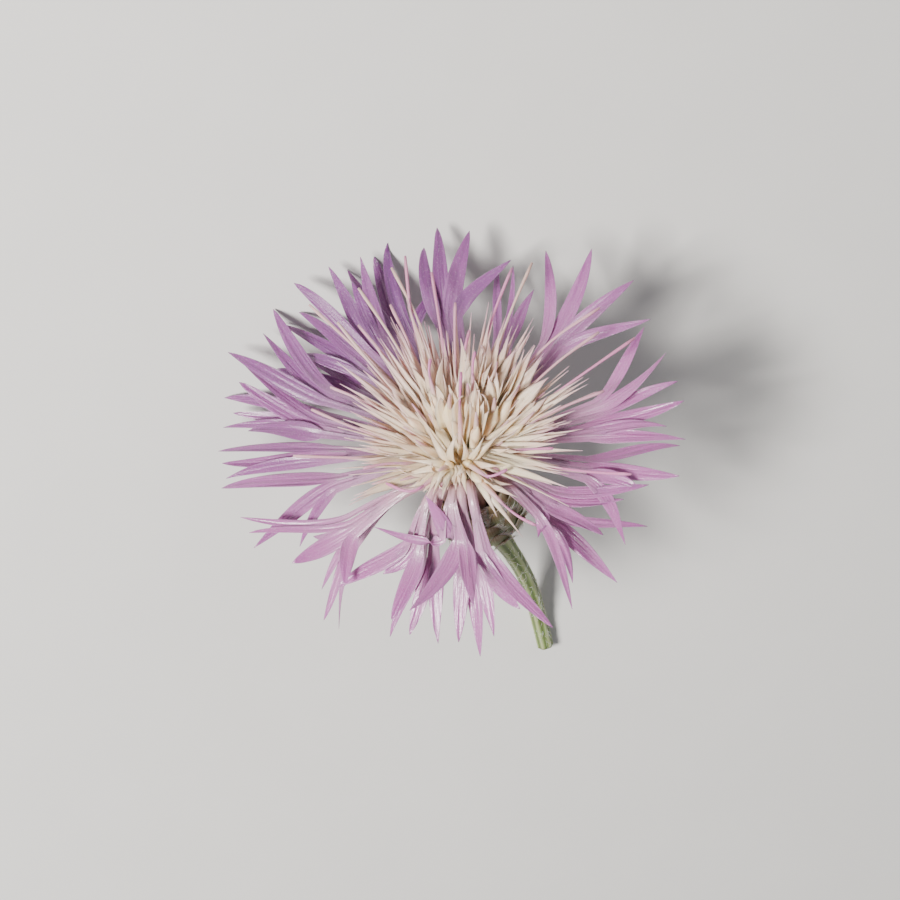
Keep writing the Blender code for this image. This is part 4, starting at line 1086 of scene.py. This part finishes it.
# A scale runs up the side: path at the side's radius plus a stand that grows to the tip, width
# as a half sine that is fullest a third of the way up.
def scaleShape(foot, turn, length, width, lean):
    share = np.linspace(0.0, 1.0, 12)
    height = foot[:, None] + length[:, None] * share
    stand = involucre["stand"] * (0.2 + 0.9 * share ** 0.7) + lean[:, None] * share ** 2
    path = around(involucreRadius(height) + stand, turn[:, None], height)
    half = 0.5 * width[:, None] * np.sin(np.pi * (0.25 + 0.75 * share ** 0.9)) ** 0.7
    return path, around(1.0, turn + 90.0, 0.0), np.maximum(half, 0.03)


# Green at a scale's foot to brown and pale at its tip: a ramp of mm / colorLength, moved by
# blotShift * (blots - 1/2), with darker lines.
def involucreMaterial():
    nodes = Nodes("scaleGreenBrown")
    lines = nodes.streaks(*involucre["lines"])
    blots = nodes.blots(*involucre["blots"])
    mm = nodes.add("ShaderNodeSeparateXYZ", Vector=nodes.alongPiece()).outputs["Y"]
    shift = nodes.math("MULTIPLY", nodes.math("SUBTRACT", blots, 0.5), involucre["blotShift"])
    way = nodes.math("ADD", nodes.math("DIVIDE", mm, involucre["colorLength"]), shift)
    color = nodes.tint(nodes.ramp(way, involucre["colors"]), involucre["lineDepth"], lines,
                       involucre["lineColors"])
    nodes.plug(nodes.shader, Base_Color=color, Roughness=nodes.spread(blots, *involucre["roughness"]),
               Normal=nodes.bump(lines, involucre["lineHeight"]),
               Specular_IOR_Level=involucre["specular"])
    return nodes.material


# Pale, a little translucent, blotted by a noise.
def hairMaterial():
    nodes = Nodes("paleHair")
    blots = nodes.blots(involucre["hairBlots"])
    share, depth = involucre["hairGlow"]
    nodes.plug(nodes.shader, Base_Color=nodes.ramp(blots, involucre["hairColors"]),
               Roughness=involucre["hairRoughness"], Subsurface_Weight=share, Subsurface_Scale=depth)
    return nodes.material


# The cup is a closed section carried round the axis: a ring whose path is a circle would twist,
# so its grid is made directly as radius and height over the turn, from the floor over the rim
# and down the side to the foot, with poles on the axis.
def cupBatch():
    rim, bottom = involucre["side"][0][1], involucre["side"][-1][1]
    heights = np.linspace(rim, bottom, 30)
    floor, wall = involucre["cupFloor"], involucre["cupRadius"]
    inside = np.array([(0.05, floor), (2.5, floor), (4.5, floor), (wall, floor + 0.3),
                       (wall, rim - 0.2), (wall + 0.2, rim)])
    outside = np.stack([involucreRadius(heights), heights], axis=1)
    foot = np.array([(1.2, bottom - 0.05), (0.05, bottom - 0.05)])
    profile = np.concatenate([inside, outside, foot])[::-1]
    turn = np.linspace(0.0, 360.0, 64, endpoint=False)
    points = around(profile[None, :, None, 0], turn[None, None, :], profile[None, :, None, 1])
    length = np.concatenate([[0.0], np.linalg.norm(np.diff(profile, axis=0), axis=1).cumsum()])[None]
    uv = np.stack(np.broadcast_arrays(turn[None, None, :] / 10.0, length[..., None]), axis=-1)
    poles = np.array([[[0.0, 0.0, profile[0, 1]], [0.0, 0.0, profile[-1, 1]]]])
    return {"points": points, "poles": poles, "uv": uv, "length": length}


# Values along paths at a share of the way: (1 - rest) * the ring before + rest * the ring after.
def atShare(values, share):
    ring = share * (values.shape[1] - 1)
    low = int(ring)
    rest = ring - low
    return values[:, low] * (1 - rest) + values[:, min(low + 1, values.shape[1] - 1)] * rest


# Hairs on both margins of the scales' upper parts: Bezier curves from start to
# start + (across * heading across + upward * heading up + out * a draw) * size, bowed outwards.
def fringeBatch(path, across, half, turn, draws):
    hairs, out = [], around(1.0, turn, 0.0)
    upward = unit(path[:, -1] - path[:, 0])
    begin, (headAcross, headUp) = involucre["fringeFrom"], involucre["hairHeading"]
    share = np.linspace(0.0, 1.0, 4)
    for margin in (-1.0, 1.0):
        for hair in range(involucre["fringe"]):
            place = begin + (1.0 - begin) * hair / involucre["fringe"]
            wide = atShare(half, place)[:, None]
            start = (atShare(path, place) + across * margin * wide * involucre["hairFoot"]
                     + out * (involucre["scaleGutter"] * wide))
            size = involucre["hairLength"] * draws.uniform(*involucre["hairDraw"], len(turn))[:, None]
            heading = across * margin * headAcross + upward * headUp
            middle = start + heading * 0.5 * size + out * involucre["hairBow"] * size
            curl = draws.uniform(*involucre["hairCurl"], len(turn))[:, None]
            end = start + heading * size + out * curl * size
            hairs.append(bezier(np.stack([start, middle, end], axis=1), share))
    thin = involucre["hairRadius"] * (1.05 - share)
    return carry(np.concatenate(hairs), np.tile(out, (len(hairs), 1)), thin, thin, sides=3)


# Rows of scales about the cup, each at an even turn, with foot, turn and length drawn a little
# off, then a ring of slimmer ones at the rim.
def makeInvolucre():
    draws = np.random.default_rng(involucre["seed"])
    rows = []
    for row, (foot, count, length, width) in enumerate(involucre["rows"]):
        for place in range(count):
            drawnFoot = foot + draws.uniform(*involucre["footDraw"])
            even = place + involucre["rowTurn"] * row
            rows.append((drawnFoot, 360.0 * (even + draws.uniform(*involucre["turnDraw"])) / count,
                         length * draws.uniform(*involucre["lengthDraw"]), width,
                         involucre["leanStep"] * (place % 3)))
    length, width = involucre["rimSize"]
    for place in range(involucre["rimScales"]):
        even = 360.0 * place / involucre["rimScales"]
        rows.append((involucre["rimFoot"], even + draws.uniform(*involucre["rimTurnDraw"]),
                     length * draws.uniform(*involucre["rimLengthDraw"]), width, involucre["rimLean"]))
    foot, turn, length, width, lean = np.array(rows).T
    path, across, half = scaleShape(foot, turn, length, width, lean)
    scales = carry(path, -across, half, involucre["scaleDepth"], sides=16,
                   gutter=involucre["scaleGutter"] * half, ridge=involucre["scaleRidge"])
    scales["seed"] = np.arange(len(foot)) * 1.9
    makePiece("involucreScales", [cupBatch(), scales], involucreMaterial(), ["involucre"])
    fringe = fringeBatch(path, across, half, turn, draws)
    makePiece("scaleFringes", [fringe], hairMaterial())


# Stem: a ribbed stalk that thickens under the head, bows and comes down on to the table.
stem = {
    "length": 35.5,
    "overlap": 0.6,           # mm that it runs up into the involucre
    "neckRadius": 1.95,
    "radius": 1.25,
    "flare": 0.16,            # share of the length over which the neck thins
    "bow": 1.6,
    "ribs": 6,
    "ribDepth": 0.12,
    "rest": 1.0,
    "bend": 1.6,
    "hairs": 320,
    "hairRadius": 0.035,
    "hairSpan": (0.02, 0.97), # shares of the length between which they start
    "hairLift": 0.05,         # mm that a hair's ends stand off the stalk
    "hairRise": 0.22,         # mm, the most that its middle stands off more
    "riseDraw": (0.2, 1.0),
    "hairDrift": (0.9, 4.0),  # radians round the stalk and rings along it that a hair may stray
    "seed": 21,
    "colors": [(0.0, (0.13, 0.18, 0.06)), (0.5, (0.24, 0.33, 0.11)), (0.9, (0.42, 0.48, 0.25))],
    "lineColors": [(0.3, (0.6, 0.62, 0.5)), (0.6, (1.0, 1.0, 1.0))],
    "blotColors": [(0.3, (0.7, 0.6, 0.5)), (0.6, (1.0, 1.0, 1.0))],
    "lines": (4.0, 0.12, 4.0, 0.6),   # streaks to a mm across and along, detail and roughness
    "blots": (300.0, 3.0, 0.6),       # blots to a metre, detail and roughness
    "lineDepth": 0.6,
    "blotDepth": 0.5,
    "lineBump": (0.00012, 0.7),   # height in metres, and strength
    "roughness": (0.3, 0.4),      # what the lines add, and the base
    "glow": (0.1, 0.0008),        # share and depth, metres
}


# Path down the axis with a half-sine bow, laid on the table.
def stemPath(share):
    top = involucre["side"][-1][1] + stem["overlap"]
    bow = stem["bow"] * np.sin(np.pi * share)
    down = top - (stem["length"] + stem["overlap"]) * share
    return layOnTable(np.stack([bow, np.zeros_like(share), down], axis=1), stem["rest"], stem["bend"])


# The ribbed surface: path + side * r cos turn + face * r sin turn, where r is the radius, less
# ribDepth of it between ribs by a cosine, plus what a hair is lifted.
def onStalk(path, side, face, radius, turn, lifted=0.0):
    reach = radius * (1.0 - stem["ribDepth"] * (0.5 - 0.5 * np.cos(stem["ribs"] * turn))) + lifted
    return path + (reach * np.cos(turn))[..., None] * side + (reach * np.sin(turn))[..., None] * face


# Green, paler on the ribs: a ramp of (cos(ribs * turn) + 1) / 2, with lines and blots.
def stemMaterial():
    nodes = Nodes("ribbedGreenStalk")
    lines = nodes.streaks(*stem["lines"])
    blots = nodes.blots(*stem["blots"])
    turn = nodes.add("ShaderNodeSeparateXYZ", Vector=nodes.alongPiece()).outputs["X"]
    rib = nodes.math("COSINE", nodes.math("MULTIPLY", turn, float(stem["ribs"])))
    color = nodes.ramp(nodes.math("MULTIPLY", nodes.math("ADD", rib, 1.0), 0.5), stem["colors"])
    color = nodes.tint(color, stem["lineDepth"], lines, stem["lineColors"])
    color = nodes.tint(color, stem["blotDepth"], blots, stem["blotColors"])
    share, depth = stem["glow"]
    nodes.plug(nodes.shader, Base_Color=color, Roughness=nodes.spread(lines, *stem["roughness"]),
               Normal=nodes.bump(lines, *stem["lineBump"]),
               Subsurface_Weight=share, Subsurface_Scale=depth)
    return nodes.material


# The stalk's radius falls from the neck's as exp(-(share / flare) squared). Hairs start on its
# surface at drawn places and curl along it, lifted in the middle by a half sine.
def makeStem():
    draws = np.random.default_rng(stem["seed"])
    share = np.linspace(0.0, 1.0, 90)
    path = stemPath(share)
    along, side, face = frameAlong(path, np.array([1.0, 0.0, 0.0]))
    thinning = np.exp(-((share / stem["flare"]) ** 2))
    radius = stem["radius"] + (stem["neckRadius"] - stem["radius"]) * thinning
    turn = np.linspace(0.0, 2.0 * np.pi, 48, endpoint=False)
    points = onStalk(path[:, None], side[:, None], face[:, None], radius[:, None], turn)
    length = (share * stem["length"])[None]
    uv = np.stack(np.broadcast_arrays(turn[None, None, :], length[..., None]), axis=-1)
    stalk = {"points": points[None], "poles": path[None, [0, -1]], "uv": uv, "length": length}
    makePiece("stalk", [stalk], stemMaterial(), ["stem"])

    count, last = stem["hairs"], len(share) - 1
    driftRound, driftAlong = stem["hairDrift"]
    ring = (draws.uniform(*stem["hairSpan"], count) * last).astype(int)
    step = np.linspace(0.0, 1.0, 5)
    turns = (draws.uniform(0.0, 2.0 * np.pi, count)[:, None]
             + draws.uniform(-driftRound, driftRound, count)[:, None] * step)
    onward = (step * draws.uniform(-driftAlong, driftAlong, count)[:, None]).round()
    rings = np.clip(ring[:, None] + onward, 0, last).astype(int)
    drawn = draws.uniform(*stem["riseDraw"], count)[:, None]
    lifted = stem["hairLift"] + stem["hairRise"] * np.sin(np.pi * step) * drawn
    hairs = onStalk(path[rings], side[rings], face[rings], radius[rings], turns, lifted)
    thin = stem["hairRadius"] * (1.1 - step)
    laid = layOnTable(hairs, stem["hairLift"], stem["hairLift"])
    wool = carry(laid, along[ring] * 0.3 + side[ring], thin, thin, sides=3)
    makePiece("stalkHairs", [wool], hairMaterial())


# Camera as in the photograph: a long lens looking down on the face, rolled to its frame.
view = {
    "elevation": 65.0,        # degrees, above the table
    "roll": 25.0,
    "distance": 346.5,        # mm from the mouth's centre
    "aside": (-2.36, 3.60),   # mm along the picture's right and up
    "lens": 100.0,
    "sensor": 36.0,
    "clip": (0.01, 20.0),
}


# Puts an object in the scene with its own axes along three directions, at a place in metres.
def setDown(name, data, axes, place):
    thing = addObject(name, data)
    matrix = np.eye(4)
    matrix[:3] = np.stack([*axes, place], axis=1)
    thing.matrix_world = Matrix(matrix.tolist())
    return thing


# The camera looks along -back = -(0, -cos elevation, sin elevation), from the mouth
# + distance * back + aside. Its right and up are the level ones turned by the roll.
def makeCamera():
    lift, roll = np.radians(view["elevation"]), np.radians(view["roll"])
    back = np.array([0.0, -np.cos(lift), np.sin(lift)])
    levelRight, levelUp = np.array([-1.0, 0.0, 0.0]), np.array([0.0, -np.sin(lift), -np.cos(lift)])
    right = np.cos(roll) * levelRight - np.sin(roll) * levelUp
    up = np.sin(roll) * levelRight + np.cos(roll) * levelUp
    asideRight, asideUp = view["aside"]
    place = np.array(lying["mouth"]) + view["distance"] * back + asideRight * right + asideUp * up
    data = bpy.data.cameras.new("camera")
    data.lens, data.sensor_width = view["lens"], view["sensor"]
    data.clip_start, data.clip_end = view["clip"]
    bpy.context.scene.camera = setDown("camera", data, (right, up, back), place * 0.001)
    return right, up, back


# Floor, a soft key light, a wider and weaker fill, and an even pale surround. Lights are placed
# by shares of the camera's right, up and back, at a distance from the mouth. All is in metres.
studio = {
    "floorSize": 3.0,
    "floorColor": (0.80, 0.79, 0.77),
    "floorGrain": 0.97,       # share of that colour in its darker grains
    "floorRoughness": 0.75,
    "key": {"from": (-0.50, -0.20, 0.84), "distance": 0.6, "size": 0.16, "power": 7.8,
            "color": (1.0, 0.97, 0.93)},
    "fill": {"from": (0.7, 0.45, 0.55), "distance": 0.8, "size": 0.6, "power": 1.1,
             "color": (0.94, 0.96, 1.0)},
    "surround": (0.88, 0.90, 0.93),
    "surroundStrength": 0.2,
}


# A plain floor in a faint grain, two round area lights and the surround. A light's place is the
# mouth + toward * distance, with toward the unit of the sum of axis * share, and it looks back.
def makeStudio(*cameraAxes):
    half = studio["floorSize"] * 0.5
    mesh = bpy.data.meshes.new("floor")
    corners = [(-half, -half, 0.0), (half, -half, 0.0), (half, half, 0.0), (-half, half, 0.0)]
    mesh.from_pydata(corners, [], [(0, 1, 2, 3)])
    nodes = Nodes("paleFloor")
    low = tuple(value * studio["floorGrain"] for value in studio["floorColor"])
    grain = nodes.ramp(nodes.blots(60.0, 4.0, 0.6), [(0.3, low), (0.7, studio["floorColor"])])
    nodes.plug(nodes.shader, Base_Color=grain, Roughness=studio["floorRoughness"])
    mesh.materials.append(nodes.material)
    addObject("floor", mesh)
    for name in ("key", "fill"):
        values = studio[name]
        toward = unit(sum(axis * share for axis, share in zip(cameraAxes, values["from"])))
        light = bpy.data.lights.new(name, "AREA")
        light.shape = "DISK"
        light.size, light.energy, light.color = values["size"], values["power"], values["color"]
        sideways = unit(np.cross([0.0, 0.0, 1.0], toward))
        place = np.array(lying["mouth"]) * 0.001 + toward * values["distance"]
        setDown(name, light, (sideways, np.cross(toward, sideways), toward), place)
    world = bpy.data.worlds.new("surround")
    world.use_nodes = True
    background = world.node_tree.nodes["Background"]
    background.inputs["Color"].default_value = (*studio["surround"], 1.0)
    background.inputs["Strength"].default_value = studio["surroundStrength"]
    bpy.context.scene.world = world


makeStudio(*makeCamera())
print("camera, floor and lights are set")
makeStem()
makeInvolucre()
makeRayFlorets()
makeDiscFlorets()
print("the flower is dressed")
